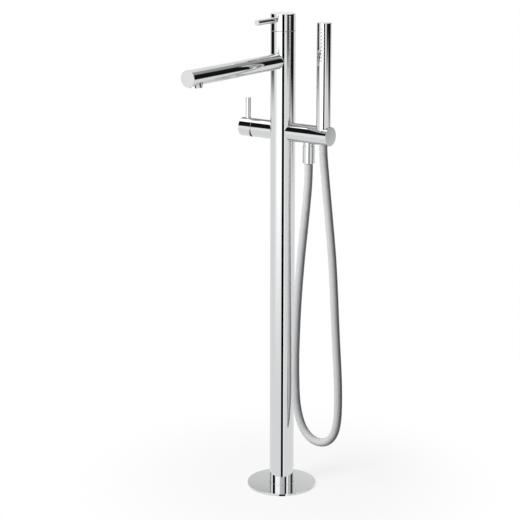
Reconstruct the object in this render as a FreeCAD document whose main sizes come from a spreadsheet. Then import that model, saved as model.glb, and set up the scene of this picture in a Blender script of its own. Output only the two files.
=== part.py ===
import FreeCAD, Part
import math
import os
import re

import Sketcher

# Floor standing bath filler, in millimetres.
# The origin is the column's axis on the floor and +Z is up. The spout points along -Y, the handset
# arm along +X and the mixer along -X. Supply water comes in through the floor, passes the mixer
# cartridge in the left arm, rises to the diverter in the column's head, and leaves by the spout or
# by the hose under the right arm.

# Every size that a designer can set by itself. The sheet "Sizes" holds them and all formulas read them.
SIZES = {
    # clearances
    "fit_gap": 0.1,                # around a fixed piece in its seat
    "shaft_gap": 0.08,             # around a turning shaft
    "joint_gap": 0.3,              # between a moving piece and the body beside it
    "saddle_gap": 0.05,            # between a branch and the column that it meets
    "edge_break": 0.4,             # chamfer on visible edges
    # column and floor flange
    "total_height": 880.0,         # floor to the top of the diverter knob
    "column_diameter": 45.0,
    "column_wall": 2.0,
    "flange_diameter": 128.0,
    "flange_wall": 1.2,            # thickness of the cover flange's shell
    "seal_height": 2.6,
    "plate_diameter": 120.0,
    "plate_thickness": 2.7,
    "plate_bolt_circle": 90.0,
    "plate_bolt_hole": 6.6,
    "plate_bolt_count": 4,
    "spigot_wall": 1.9,
    "spigot_height": 62.0,
    "column_screw_diameter": 5.9,
    "column_screw_length": 5.6,
    "column_screw_height": 38.0,
    "column_screw_angle": 60.0,    # each side of the back
    "hex_socket_width": 2.5,
    "hex_socket_depth": 1.8,
    # inlet block and pipes
    "inlet_height": 32.0,
    "inlet_start": 3.0,            # port mouths above the floor
    "port_diameter": 15.2,
    "port_depth": 14.0,
    "pipe_diameter": 10.0,
    "pipe_wall": 1.0,
    "pipe_insert": 8.0,            # depth of a pipe in its socket
    "supply_offset": 9.0,          # hot to +Y and cold to -Y of the axis
    "return_offset": 11.2,         # shower return pipe to +X of the axis
    "drilling_diameter": 7.0,
    # side arms
    "arm_drop": 209.0,             # knob's top to the axis of the arms
    "arm_diameter": 34.0,
    "arm_reach": 101.5,            # column axis to the arm's end face
    "arm_bore": 17.0,
    "arm_end_wall": 6.5,           # metal between the water bore and the holder bore
    "block_half_height": 33.0,
    "nipple_wall": 2.4,
    "nipple_start": 7.5,           # column axis to the arm nipple's inner end
    "nipple_grip": 13.0,           # length of a nipple outside the column
    # mixer
    "mixer_reach": 59.3,           # column axis to the end of the mixer body
    "mixer_pocket": 29.2,
    "mixer_pocket_depth": 29.3,
    "mixer_hub": 24.0,
    "hub_inner_end": 4.0,          # how far the hub reaches past the column's axis
    "way_diameter": 5.0,
    "supply_way_offset": 8.0,
    "supply_way_drop": 3.0,
    "mixed_way_rise": 4.0,
    "ring_nut_length": 9.7,
    "ring_nut_setback": 0.5,
    "turret_diameter": 18.0,
    "turret_insert": 7.0,
    "turret_slot_above": 5.2,
    "turret_slot_below": 6.0,
    "stem_width": 7.0,
    "stem_pivot": 55.0,            # column axis to the stem's pivot
    "stem_pin_diameter": 3.0,
    "stem_tail": 3.0,
    "stem_insert": 11.0,           # length of the stem in the handle
    "handle_length": 27.0,
    "handle_gap": 0.5,
    "handle_cavity": 26.0,
    "handle_cavity_depth": 5.5,
    "handle_wedge_angle": 19.0,
    "handle_lever_distance": 75.4,
    "handle_screw_distance": 69.5,
    "lever_diameter": 10.0,
    "lever_seat": 8.0,             # lever's shoulder above the handle's axis
    "lever_height": 53.6,          # top of the lever above the handle's axis
    "lever_stud": 5.8,
    "lever_stud_length": 3.6,
    "set_screw_diameter": 4.9,
    "set_screw_length": 8.0,
    "spanner_slot": 3.0,
    "spanner_slot_depth": 2.0,
    # diverter
    "diverter_block_drop": 25.0,   # block's bottom below the spout's axis
    "diverter_block_height": 64.0,
    "diverter_pocket": 26.0,
    "diverter_pocket_depth": 24.0,
    "diverter_nut_height": 8.0,
    "diverter_nut_bore": 13.0,
    "knob_height": 29.8,
    "knob_wall": 5.0,
    "knob_cavity_depth": 10.8,
    "diverter_stem_diameter": 8.0,
    "diverter_stem_insert": 12.0,
    "knob_socket_depth": 5.0,
    "knob_lever_drop": 10.0,       # knob lever's axis below the knob's top
    "knob_lever_reach": 80.0,
    "knob_lever_seat": 18.0,
    "knob_screw_drop": 15.2,
    "glide_thickness": 0.4,
    "glide_collar_height": 9.0,
    "glide_collar_wall": 1.6,
    # spout
    "spout_drop": 83.0,            # knob's top to the spout's axis
    "spout_diameter": 28.0,
    "spout_wall": 1.5,
    "spout_reach": 275.0,          # column axis to the spout's end face
    "spout_end_wall": 2.0,
    "spout_nipple_start": 5.0,
    "spout_plug_end": 37.0,
    "aerator_setback": 21.5,       # aerator's axis from the end face
    "aerator_diameter": 24.0,
    "aerator_thread": 21.9,
    "aerator_bore": 19.6,
    "aerator_drop": 2.4,           # how far the housing stands below the spout
    "aerator_collar": 3.9,
    "aerator_height": 11.4,
    "aerator_gasket_height": 1.5,
    "aerator_boss_length": 32.0,
    "aerator_grille_recess": 0.8,
    "aerator_grille_hole": 1.8,
    "aerator_grille_thickness": 2.0,
    "aerator_insert_wall": 1.5,
    "aerator_lip": 0.6,
    "aerator_ring_inner": 3.0,     # radii of the two rings of grille holes
    "aerator_ring_outer": 6.2,
    # handset and its holder
    "holder_distance": 86.0,       # column axis to the handset's axis
    "handset_diameter": 26.0,
    "handset_wall": 1.5,
    "handset_rise": 198.0,         # handset's top above the axis of the arms
    "holder_gap": 0.35,            # handset in the arm's bore
    "holder_floor": 9.5,           # bore's floor below the arm's axis
    "hose_hole_diameter": 18.6,
    "bush_height": 12.4,
    "bush_top_wall": 0.6,
    "bush_lip": 0.1,
    "cone_nut_rise": 0.3,
    "cone_nut_neck_drop": 5.6,
    "handset_thread": 16.0,
    "handset_thread_length": 8.2,
    "handset_inlet_height": 16.0,
    "water_bore": 9.0,
    "end_cap_height": 7.0,
    "nozzle_diameter": 1.9,
    "nozzle_proud": 0.35,
    "nozzle_pitch": 6.1,
    "nozzle_rows": 10,
    "nozzle_columns": 4,
    "nozzle_spread": 70.0,         # angle between the outer nozzle columns
    "nozzle_top_drop": 10.0,       # first row below the handset's top
    "nozzle_sleeve_margin": 2.8,
    "nozzle_sleeve_wall": 1.5,
    # hose
    "outlet_distance": 56.0,
    "outlet_diameter": 20.0,
    "outlet_bore": 12.0,
    "outlet_seat": 2.5,            # outlet's top above the water bore's lowest line
    "outlet_neck": 3.5,            # visible neck between arm and nut
    "hose_nut_diameter": 22.0,
    "hose_nut_length": 31.5,
    "hose_nut_thread_depth": 14.0,
    "hose_nut_edge": 1.2,
    "hose_diameter": 15.0,
    "hose_bore": 9.0,
    "hose_lead": 32.4,             # straight run out of its nut
    "hose_tail": 15.6,             # straight run into the conical nut
    "washer_thickness": 2.0,
}

# Heights above the floor that follow from the sizes.
LEVELS = {
    "arm_height": "total_height - arm_drop",
    "spout_height": "total_height - spout_drop",
    "handset_top": "total_height - arm_drop + handset_rise",
    "diverter_block_start": "total_height - spout_drop - diverter_block_drop",
}

# The hose's route between its straight ends, chosen by hand: it hangs in one slim loop beside the column.
# Each point is its place from the column's axis, in X and Y, and how far it is below the arms' axis.
HOSE_ROUTE = (
    (50.9, -2.0, 147.9),
    (41.9, -2.9, 231.8),
    (35.5, -3.6, 315.2),
    (31.7, -3.7, 411.8),
    (32.0, -2.8, 468.9),
    (34.3, -1.8, 512.3),
    (46.9, -2.4, 549.9),
    (70.7, -5.9, 567.6),
    (99.5, -9.8, 567.4),
    (121.9, -13.2, 549.3),
    (130.7, -13.9, 521.8),
    (131.5, -12.4, 483.8),
    (129.4, -10.9, 436.3),
    (122.5, -9.3, 360.7),
    (113.9, -7.4, 232.2),
    (103.5, -5.1, 153.5),
    (93.5, -2.4, 83.0),
)

TURNS = {
    "+Z": FreeCAD.Rotation(),
    "-Z": FreeCAD.Rotation(FreeCAD.Vector(1, 0, 0), 180),
    "+X": FreeCAD.Rotation(FreeCAD.Vector(0, 1, 0), 90),
    "-X": FreeCAD.Rotation(FreeCAD.Vector(0, 1, 0), -90),
    "+Y": FreeCAD.Rotation(FreeCAD.Vector(1, 0, 0), -90),
    "-Y": FreeCAD.Rotation(FreeCAD.Vector(1, 0, 0), 90),
}

document = FreeCAD.newDocument("BathFiller")
nodes = []


# ---------------------------------------------------------------- helpers

def fill_sheet():
    sheet = document.addObject("Spreadsheet::Sheet", "Sizes")
    entries = list(SIZES.items()) + [(alias, "=" + text) for alias, text in LEVELS.items()]
    for row, (alias, value) in enumerate(entries, start=1):
        cell = "A%d" % row
        sheet.set(cell, str(value))
        sheet.setAlias(cell, alias)
    document.recompute()
    return sheet


def formula(text):
    """The same formula with each size's name pointing at its cell."""
    names = set(SIZES) | set(LEVELS)
    return re.sub(r"[a-z_]+", lambda word: "Sizes." + word[0] if word[0] in names else word[0], text)


def bind(thing, **settings):
    for name, text in settings.items():
        thing.setExpression(name, formula(text))


def size(name):
    """A size's value, read from its cell."""
    return float(sheet.get(name))


def place(thing, direction="+Z", at=("0", "0", "0"), turn=0.0):
    """Puts a thing's own Z axis along a direction, then turns it about +Z; at is three formulas."""
    rotation = FreeCAD.Rotation(FreeCAD.Vector(0, 0, 1), turn) * TURNS[direction]
    thing.Placement = FreeCAD.Placement(FreeCAD.Vector(), rotation)
    for axis, text in zip("xyz", at):
        if text != "0":
            thing.setExpression("Placement.Base." + axis, formula(text))


def node(name, thing):
    """Names a finished sub-part; its label is its file's name."""
    thing.Label = name
    nodes.append(thing)
    return thing


def new_body(name):
    return document.addObject("PartDesign::Body", name)


def plane_of(body, role):
    return next(feature for feature in body.Origin.OriginFeatures if feature.Role == role)


def new_sketch(body, name, plane, lift):
    """A sketch on one of its body's own planes, lifted off it by a formula."""
    sketch = body.newObject("Sketcher::SketchObject", name)
    sketch.AttachmentSupport = [(plane_of(body, plane), "")]
    sketch.MapMode = "FlatFace"
    if lift != "0":
        sketch.setExpression("AttachmentOffset.Base.z", formula(lift))
    return sketch


def hold(sketch, element, point, start, across, along):
    """Fixes a sketch's point at two formulas from the sketch's origin."""
    for kind, text, value in (("DistanceX", across, start.x), ("DistanceY", along, start.y)):
        number = sketch.addConstraint(Sketcher.Constraint(kind, -1, 1, element, point, value))
        sketch.setExpression("Constraints[%d]" % number, formula(text))


def outline(body, name, corners, plane="XZ_Plane", lift="0"):
    """A closed sketch of straight edges, each corner held by its two formulas."""
    sketch = new_sketch(body, name, plane, lift)
    count = len(corners)
    draft = []
    for index in range(count):
        turn = 2 * math.pi * index / count
        draft.append(FreeCAD.Vector(100 + 50 * math.cos(turn), 100 + 50 * math.sin(turn), 0))
    for index in range(count):
        sketch.addGeometry(Part.LineSegment(draft[index], draft[(index + 1) % count]))
    for index in range(count):
        sketch.addConstraint(Sketcher.Constraint("Coincident", index, 2, (index + 1) % count, 1))
    for index, (across, along) in enumerate(corners):
        hold(sketch, index, 1, draft[index], across, along)
    return sketch


def circle(body, name, diameter, across="0", along="0", plane="XY_Plane", lift="0"):
    """A sketch of one circle, its centre and diameter held by formulas."""
    sketch = new_sketch(body, name, plane, lift)
    centre = FreeCAD.Vector(10, 10, 0)
    sketch.addGeometry(Part.Circle(centre, FreeCAD.Vector(0, 0, 1), 5))
    hold(sketch, 0, 3, centre, across, along)
    number = sketch.addConstraint(Sketcher.Constraint("Diameter", 0, 10))
    sketch.setExpression("Constraints[%d]" % number, formula(diameter))
    return sketch


def lathe(name, corners, direction="+Z", at=("0", "0", "0"), turn=0.0):
    """A turned piece: corners are (radius, distance along the axis)."""
    body = new_body(name)
    sketch = outline(body, name + "_profile", corners)
    turned = body.newObject("PartDesign::Revolution", name + "_turned")
    turned.Profile = sketch
    turned.ReferenceAxis = (sketch, ["V_Axis"])
    turned.Angle = 360
    place(body, direction, at, turn)
    return body


def sleeve(name, inner, outer, start, end, direction="+Z", at=("0", "0", "0")):
    """A plain tube or ring between two distances along its axis."""
    corners = ((inner, start), (outer, start), (outer, end), (inner, end))
    return lathe(name, corners, direction, at)


def pocket(body, sketch, length=None, reverse=False, midplane=False):
    """Cuts a sketch into a body, through all where no length is given."""
    removal = body.newObject("PartDesign::Pocket", sketch.Name + "_cut")
    removal.Profile = sketch
    if length is None:
        removal.Type = "ThroughAll"
    else:
        bind(removal, Length=length)
    removal.Midplane = midplane
    removal.Reversed = reverse
    return removal


def rod(name, radius, length, direction="+Z", at=("0", "0", "0"), turn=0.0):
    thing = document.addObject("Part::Cylinder", name)
    bind(thing, Radius=radius, Height=length)
    place(thing, direction, at, turn)
    return thing


def block(name, length, width, height, at):
    thing = document.addObject("Part::Box", name)
    bind(thing, Length=length, Width=width, Height=height)
    place(thing, "+Z", at)
    return thing


def fuse(name, *pieces):
    thing = document.addObject("Part::MultiFuse", name)
    thing.Shapes = list(pieces)
    return thing


def cut(name, base, *tools):
    thing = document.addObject("Part::Cut", name)
    thing.Base = base
    thing.Tool = tools[0] if len(tools) == 1 else fuse(name + "_tools", *tools)
    return thing


def common(name, first, second):
    thing = document.addObject("Part::Common", name)
    thing.Base = first
    thing.Tool = second
    return thing


def column_skin(name):
    """The column's outside with the saddle's clearance: what each branch is cut back from."""
    return rod(name, "column_diameter / 2 + saddle_gap", "total_height")


def set_screw(name, direction, at, diameter="set_screw_diameter", length="set_screw_length", turn=0.0):
    """A headless screw with a hexagon socket in its outer end."""
    corners = (
        ("0", "0"),
        ("{} / 2 - edge_break".format(diameter), "0"),
        ("{} / 2".format(diameter), "edge_break"),
        ("{} / 2".format(diameter), length),
        ("0", length),
    )
    screw = lathe(name, corners, direction, at, turn)
    hexagon = []
    for step in range(6):
        angle = 60 * step + 30
        reach = "hex_socket_width / 2 / cos(30)"
        hexagon.append(("{} * cos({})".format(reach, angle), "{} * sin({})".format(reach, angle)))
    socket = outline(screw, name + "_hexagon", hexagon, "XY_Plane", length + " - hex_socket_depth")
    pocket(screw, socket, "hex_socket_depth", reverse=True)
    return screw


# ---------------------------------------------------------------- places that pieces share

COLUMN_RADIUS = "(column_diameter / 2)"
COLUMN_BORE = "(column_diameter / 2 - column_wall)"
COLUMN_TOP = "(total_height - knob_height - joint_gap - glide_thickness)"
SPIGOT_RADIUS = "(column_diameter / 2 - column_wall - fit_gap)"
SPIGOT_BORE = "(column_diameter / 2 - column_wall - fit_gap - spigot_wall)"
FLANGE_TOP = "(plate_thickness + fit_gap + flange_wall)"
INLET_TOP = "(inlet_start + inlet_height)"
PIPE_RADIUS = "(pipe_diameter / 2)"
VALVE_BOTTOM = "(arm_height - block_half_height)"
VALVE_TOP = "(arm_height + block_half_height)"
DIVERTER_TOP = "(diverter_block_start + diverter_block_height)"
DIVERTER_POCKET_FLOOR = "(diverter_block_start + diverter_block_height - diverter_pocket_depth)"
ARM_RADIUS = "(arm_diameter / 2)"
NIPPLE_RADIUS = "(arm_bore / 2 - fit_gap)"
POCKET_FLOOR = "(mixer_reach - mixer_pocket_depth)"
NUT_START = "(mixer_reach - ring_nut_setback - ring_nut_length)"
HANDLE_START = "(mixer_reach + handle_gap)"
HANDLE_END = "(mixer_reach + handle_length)"
STEM_END = "(mixer_reach + handle_gap + handle_cavity_depth + stem_insert)"
KNOB_BOTTOM = "(total_height - knob_height)"
KNOB_CEILING = "(total_height - knob_height + knob_cavity_depth)"
CARTRIDGE_TOP = "(diverter_block_start + diverter_block_height - diverter_nut_height + 1)"
SPOUT_RADIUS = "(spout_diameter / 2)"
SPOUT_BORE = "(spout_diameter / 2 - spout_wall)"
AERATOR_BOTTOM = "(spout_height - spout_diameter / 2 - aerator_drop)"
AERATOR_TOP = "(spout_height - spout_diameter / 2 - aerator_drop + aerator_height)"
AERATOR_AT = ("0", "aerator_setback - spout_reach", "0")
HOLDER_RADIUS = "(handset_diameter / 2 + holder_gap)"
HOLDER_FLOOR = "(arm_height - holder_floor)"
BUSH_START = "(arm_height - holder_floor + fit_gap)"
BUSH_END = "(arm_height - holder_floor + fit_gap + bush_height)"
BUSH_LOW_BORE = "(hose_hole_diameter / 2 + bush_lip)"
BUSH_HIGH_BORE = "(handset_diameter / 2 + holder_gap - fit_gap - bush_top_wall)"
CONE_GAP = "(joint_gap + saddle_gap)"
CONE_NUT_END = "(" + BUSH_END + " + cone_nut_rise)"
CONE_NUT_FOOT = "(arm_height - holder_floor - cone_nut_neck_drop)"
NUT_SEAT = "(" + CONE_NUT_END + " - handset_thread_length - washer_thickness)"
HANDSET_BOTTOM = "(" + CONE_NUT_END + " + joint_gap)"
HANDSET_RADIUS = "(handset_diameter / 2)"
HANDSET_BORE = "(handset_diameter / 2 - handset_wall)"
HOSE_NUT_TOP = "(arm_height - arm_diameter / 2 - outlet_neck)"
HOSE_NUT_BOTTOM = "(" + HOSE_NUT_TOP + " - hose_nut_length)"
OUTLET_BOTTOM = "(" + HOSE_NUT_TOP + " - hose_nut_thread_depth + washer_thickness + fit_gap)"


# ---------------------------------------------------------------- floor end

def foot_screw_turns():
    """Angles of the foot's two screws, each side of the back."""
    return {"left": size("column_screw_angle"), "right": -size("column_screw_angle")}


def foot_screw_holes(name, radius):
    holes = []
    for side, turn in foot_screw_turns().items():
        at = ("0", "0", "column_screw_height")
        holes.append(rod(name + "_" + side, radius, "column_diameter", "+Y", at, turn))
    return holes


def floor_plate():
    """Steel ring plate that stands on the floor under the cover flange."""
    body = sleeve("plate_blank", SPIGOT_BORE, "plate_diameter / 2", "0", "plate_thickness")
    hole = circle(body, "plate_hole", "plate_bolt_hole", along="plate_bolt_circle / 2")
    drilled = pocket(body, hole, midplane=True)
    ring = body.newObject("PartDesign::PolarPattern", "plate_holes")
    ring.Originals = [drilled]
    ring.Axis = (hole, ["N_Axis"])
    ring.Angle = 360
    bind(ring, Occurrences="plate_bolt_count")
    body.Tip = ring
    node("floor_plate", body)


def foot_spigot():
    """Steel tube welded on the plate; the column slips over it."""
    tube = lathe("spigot_tube", (
        (SPIGOT_BORE, "plate_thickness"),
        (SPIGOT_RADIUS, "plate_thickness"),
        (SPIGOT_RADIUS, "spigot_height - edge_break"),
        (SPIGOT_RADIUS + " - edge_break", "spigot_height"),
        (SPIGOT_BORE, "spigot_height"),
    ))
    threads = foot_screw_holes("spigot_thread", "column_screw_diameter / 2 + saddle_gap")
    node("foot_spigot", cut("spigot_tapped", tube, *threads))


def cover_flange():
    """Thin turned shell that hides the plate and its screws; its rim stands on the floor."""
    hole = COLUMN_RADIUS + " + saddle_gap"
    rim = "flange_diameter / 2"
    corners = (
        (hole, FLANGE_TOP + " - flange_wall"),
        (rim + " - flange_wall", FLANGE_TOP + " - flange_wall"),
        (rim + " - flange_wall", "0"),
        (rim, "0"),
        (rim, FLANGE_TOP + " - edge_break"),
        (rim + " - edge_break", FLANGE_TOP),
        (hole, FLANGE_TOP),
    )
    node("cover_flange", lathe("flange_shell", corners))


def flange_seal():
    """Soft ring on the floor, between the plate's edge and the cover flange's rim."""
    node("flange_seal", sleeve("seal_ring", "plate_diameter / 2 + fit_gap",
                               "flange_diameter / 2 - flange_wall - fit_gap", "0", "seal_height"))


def column_screws():
    """Two headless screws through the column's foot, threaded into the spigot."""
    start = size("column_diameter") / 2 - size("fit_gap") - size("column_screw_length")
    screws = []
    for side, turn in foot_screw_turns().items():
        screw = set_screw("foot_screw_" + side, "+Y", ("0", "0", "column_screw_height"),
                          "column_screw_diameter", "column_screw_length", turn)
        screw.Placement.Base = screw.Placement.Rotation.multVec(FreeCAD.Vector(0, 0, start))
        screws.append(screw)
    node("column_grub_screws", fuse("foot_screws", *screws))


def inlet_block():
    """Brass block in the spigot, with the two threaded supply ports and the pipe sockets."""
    blank = rod("inlet_blank", SPIGOT_BORE + " - fit_gap", "inlet_height", "+Z", ("0", "0", "inlet_start"))
    tools = []
    for side, sign in (("hot", ""), ("cold", "-")):
        across = sign + "supply_offset"
        tools.append(rod(side + "_port", "port_diameter / 2", "port_depth", "+Z",
                         ("0", across, "inlet_start")))
        tools.append(rod(side + "_inlet_way", "drilling_diameter / 2", "inlet_height", "+Z",
                         ("0", across, "inlet_start")))
        tools.append(rod(side + "_inlet_socket", PIPE_RADIUS + " + fit_gap", "pipe_insert + fit_gap", "-Z",
                         ("0", across, INLET_TOP)))
    node("inlet_block", cut("inlet_drilled", blank, *tools))


def straight_pipe(name, low, high, x="0", y="0"):
    """A pipe seated in a socket at each end."""
    pipe = sleeve(name + "_wall", PIPE_RADIUS + " - pipe_wall", PIPE_RADIUS,
                  low + " - pipe_insert", high + " + pipe_insert", "+Z", (x, y, "0"))
    node(name, pipe)


# ---------------------------------------------------------------- column

def column_tube():
    """The chrome column, with a hole for each branch and for the foot's screws."""
    corners = (
        (COLUMN_BORE, "plate_thickness"),
        (COLUMN_RADIUS, "plate_thickness"),
        (COLUMN_RADIUS, COLUMN_TOP + " - edge_break / 2"),
        (COLUMN_RADIUS + " - edge_break / 2", COLUMN_TOP),
        (COLUMN_BORE, COLUMN_TOP),
    )
    tube = lathe("column_wall_tube", corners)
    tools = [
        rod("hub_hole", "mixer_hub / 2 + fit_gap", "column_diameter", "-X", ("0", "0", "arm_height")),
        rod("arm_nipple_hole", NIPPLE_RADIUS + " + 2 * fit_gap", "column_diameter", "+X",
            ("0", "0", "arm_height")),
        rod("spout_nipple_hole", NIPPLE_RADIUS + " + 2 * fit_gap", "column_diameter", "-Y",
            ("0", "0", "spout_height")),
    ]
    tools += foot_screw_holes("foot_screw_hole", "column_screw_diameter / 2 + fit_gap")
    node("column_tube", cut("column_drilled", tube, *tools))


def valve_block():
    """Brass block inside the column that carries both side arms and joins the pipes to them."""
    blank = rod("valve_blank", SPIGOT_RADIUS, "2 * block_half_height", "+Z", ("0", "0", VALVE_BOTTOM))
    tools = [
        rod("hub_bore", "mixer_hub / 2 + fit_gap", "column_diameter", "-X",
            ("hub_inner_end + fit_gap", "0", "arm_height")),
        rod("arm_nipple_bore", "arm_bore / 2", "column_diameter", "+X", ("nipple_start", "0", "arm_height")),
        rod("mixed_way", "drilling_diameter / 2", "block_half_height", "+Z", ("0", "0", "arm_height")),
        rod("mixed_socket", PIPE_RADIUS + " + fit_gap", "pipe_insert + fit_gap", "-Z", ("0", "0", VALVE_TOP)),
        rod("return_way", "drilling_diameter / 2", "block_half_height", "+Z",
            ("return_offset", "0", "arm_height")),
        rod("return_socket", PIPE_RADIUS + " + fit_gap", "pipe_insert + fit_gap", "-Z",
            ("return_offset", "0", VALVE_TOP)),
    ]
    for side, sign in (("hot", ""), ("cold", "-")):
        across = sign + "supply_offset"
        tools.append(rod(side + "_valve_way", "drilling_diameter / 2", "block_half_height", "+Z",
                         ("0", across, VALVE_BOTTOM)))
        tools.append(rod(side + "_valve_socket", PIPE_RADIUS + " + fit_gap", "pipe_insert + fit_gap", "+Z",
                         ("0", across, VALVE_BOTTOM)))
    node("valve_block", cut("valve_drilled", blank, *tools))


def diverter_block():
    """Brass block in the column's head: sockets below, the spout's bore in front, the cartridge on top."""
    blank = rod("diverter_blank", SPIGOT_RADIUS, "diverter_block_height", "+Z",
                ("0", "0", "diverter_block_start"))
    tools = [
        rod("cartridge_pocket", "diverter_pocket / 2", "diverter_pocket_depth", "-Z",
            ("0", "0", DIVERTER_TOP)),
        rod("spout_nipple_bore", "arm_bore / 2", "column_diameter", "-Y",
            ("0", "-spout_nipple_start", "spout_height")),
        rod("spout_way", "drilling_diameter / 2", DIVERTER_POCKET_FLOOR + " - spout_height + 1", "+Z",
            ("0", "-spout_nipple_start - drilling_diameter / 2 - edge_break", "spout_height")),
    ]
    for side, across in (("riser", "0"), ("return", "return_offset")):
        tools.append(rod(side + "_head_way", "drilling_diameter / 2",
                         "diverter_block_height - diverter_pocket_depth + 1", "+Z",
                         (across, "0", "diverter_block_start")))
        tools.append(rod(side + "_head_socket", PIPE_RADIUS + " + fit_gap", "pipe_insert + fit_gap", "+Z",
                         (across, "0", "diverter_block_start")))
    node("diverter_block", cut("diverter_drilled", blank, *tools))


# ---------------------------------------------------------------- diverter and its knob

def diverter_cartridge():
    """Ceramic diverter: a plain turned case with the stem's socket in its top."""
    case = "diverter_pocket / 2 - fit_gap"
    corners = (
        ("0", DIVERTER_POCKET_FLOOR + " + fit_gap"),
        (case, DIVERTER_POCKET_FLOOR + " + fit_gap"),
        (case, CARTRIDGE_TOP),
        ("diverter_stem_diameter / 2 + shaft_gap", CARTRIDGE_TOP),
        ("diverter_stem_diameter / 2 + shaft_gap", CARTRIDGE_TOP + " - diverter_stem_insert - fit_gap"),
        ("0", CARTRIDGE_TOP + " - diverter_stem_insert - fit_gap"),
    )
    node("diverter_cartridge", lathe("diverter_case", corners))


def diverter_nut():
    """Ring nut that clamps the diverter cartridge, with four spanner slots."""
    start = CARTRIDGE_TOP + " + fit_gap"
    ring = sleeve("diverter_ring", "diverter_nut_bore / 2", "diverter_pocket / 2 - fit_gap",
                  start, start + " + diverter_nut_height")
    slots = []
    whole = "diverter_pocket"
    for name, wide, deep in (("x", whole, "spanner_slot"), ("y", "spanner_slot", whole)):
        slots.append(block("diverter_slot_" + name, wide, deep, "spanner_slot",
                           ("-" + wide + " / 2", "-" + deep + " / 2",
                            start + " + diverter_nut_height - spanner_slot_depth")))
    node("diverter_nut", cut("diverter_ring_slotted", ring, *slots))


def glide_ring():
    """Plastic collar in the column's mouth; its thin flange is the line below the knob."""
    outer = SPIGOT_RADIUS
    inner = SPIGOT_RADIUS + " - glide_collar_wall"
    rim = COLUMN_RADIUS + " - 2 * edge_break"
    corners = (
        (inner, COLUMN_TOP + " - glide_collar_height"),
        (outer, COLUMN_TOP + " - glide_collar_height"),
        (outer, COLUMN_TOP),
        (rim, COLUMN_TOP),
        (rim, COLUMN_TOP + " + glide_thickness"),
        (inner, COLUMN_TOP + " + glide_thickness"),
    )
    node("glide_ring", lathe("glide_collar", corners))


def diverter_stem():
    node("diverter_stem", rod("diverter_spindle", "diverter_stem_diameter / 2",
                              KNOB_CEILING + " + knob_socket_depth - " + CARTRIDGE_TOP
                              + " + diverter_stem_insert", "+Z",
                              ("0", "0", CARTRIDGE_TOP + " - diverter_stem_insert")))


def diverter_knob():
    """The column's turning head: a hollow turned cap with holes for its lever and its screw."""
    stem_hole = "diverter_stem_diameter / 2 + saddle_gap"
    corners = (
        ("column_diameter / 2 - knob_wall", KNOB_BOTTOM),
        (COLUMN_RADIUS + " - edge_break / 2", KNOB_BOTTOM),
        (COLUMN_RADIUS, KNOB_BOTTOM + " + edge_break / 2"),
        (COLUMN_RADIUS, "total_height - edge_break"),
        (COLUMN_RADIUS + " - edge_break", "total_height"),
        ("0", "total_height"),
        ("0", KNOB_CEILING + " + knob_socket_depth + fit_gap"),
        (stem_hole, KNOB_CEILING + " + knob_socket_depth + fit_gap"),
        (stem_hole, KNOB_CEILING),
        ("column_diameter / 2 - knob_wall", KNOB_CEILING),
    )
    cap = lathe("knob_cap", corners)
    axis = "total_height - knob_lever_drop"
    tools = [
        rod("knob_lever_hole", "lever_diameter / 2 + saddle_gap", "column_diameter", "-Y",
            ("0", "-knob_lever_seat", axis)),
        rod("knob_stud_hole", "lever_stud / 2 + saddle_gap", "column_diameter", "-Y",
            ("0", "-knob_lever_seat + lever_stud_length + fit_gap", axis)),
        rod("knob_screw_hole", "set_screw_diameter / 2 + saddle_gap", "column_diameter", "+Y",
            ("0", "0", "total_height - knob_screw_drop")),
    ]
    node("diverter_knob", cut("knob_drilled", cap, *tools))


def lever(name, direction, at, reach):
    """A round lever with a chamfered end and a threaded stud; at is its shoulder."""
    corners = (
        ("0", "-lever_stud_length"),
        ("lever_stud / 2", "-lever_stud_length"),
        ("lever_stud / 2", "0"),
        ("lever_diameter / 2", "0"),
        ("lever_diameter / 2", reach + " - edge_break"),
        ("lever_diameter / 2 - edge_break", reach),
        ("0", reach),
    )
    node(name, lathe(name + "_pin", corners, direction, at))


def knob_lever():
    lever("knob_lever", "-Y", ("0", "-knob_lever_seat", "total_height - knob_lever_drop"),
          "knob_lever_reach - knob_lever_seat")


def knob_grub_screw():
    node("knob_grub_screw", set_screw("knob_screw", "+Y", (
        "0", "diverter_stem_diameter / 2 + fit_gap", "total_height - knob_screw_drop")))


# ---------------------------------------------------------------- mixer arm

def mixer_body():
    """Left arm: a barrel saddled on the column, the cartridge's pocket, and a hub with its three ways."""
    barrel = lathe("mixer_barrel", (
        ("0", "column_diameter / 4"),
        (ARM_RADIUS, "column_diameter / 4"),
        (ARM_RADIUS, "mixer_reach - edge_break / 2"),
        (ARM_RADIUS + " - edge_break / 2", "mixer_reach"),
        ("mixer_pocket / 2", "mixer_reach"),
        ("mixer_pocket / 2", POCKET_FLOOR),
        ("0", POCKET_FLOOR),
    ), "-X", ("0", "0", "arm_height"))
    saddled = cut("mixer_saddled", barrel, column_skin("mixer_column"))
    hub_length = "hub_inner_end + (column_diameter / 2 + " + POCKET_FLOOR + ") / 2"
    hub = rod("mixer_hub_rod", "mixer_hub / 2", hub_length, "-X", ("hub_inner_end", "0", "arm_height"))
    way = "way_diameter / 2"
    rise = "drilling_diameter / 2"
    length = "way_diameter / 4 + mixer_reach - mixer_pocket_depth + 1"
    tools = [
        rod("mixed_outlet_way", way, length, "-X", ("way_diameter / 4", "0", "arm_height + mixed_way_rise")),
        rod("mixed_outlet_rise", rise, "mixer_hub / 2", "+Z", ("0", "0", "arm_height + mixed_way_rise")),
    ]
    for side, sign in (("hot", ""), ("cold", "-")):
        across = sign + "supply_way_offset"
        tools.append(rod(side + "_hub_way", way, length, "-X",
                         ("way_diameter / 4", across, "arm_height - supply_way_drop")))
        tools.append(rod(side + "_hub_drop", rise, "mixer_hub / 2", "-Z",
                         ("0", across, "arm_height - supply_way_drop")))
    node("mixer_body", cut("mixer_drilled", fuse("mixer_solid", saddled, hub), *tools))


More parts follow.
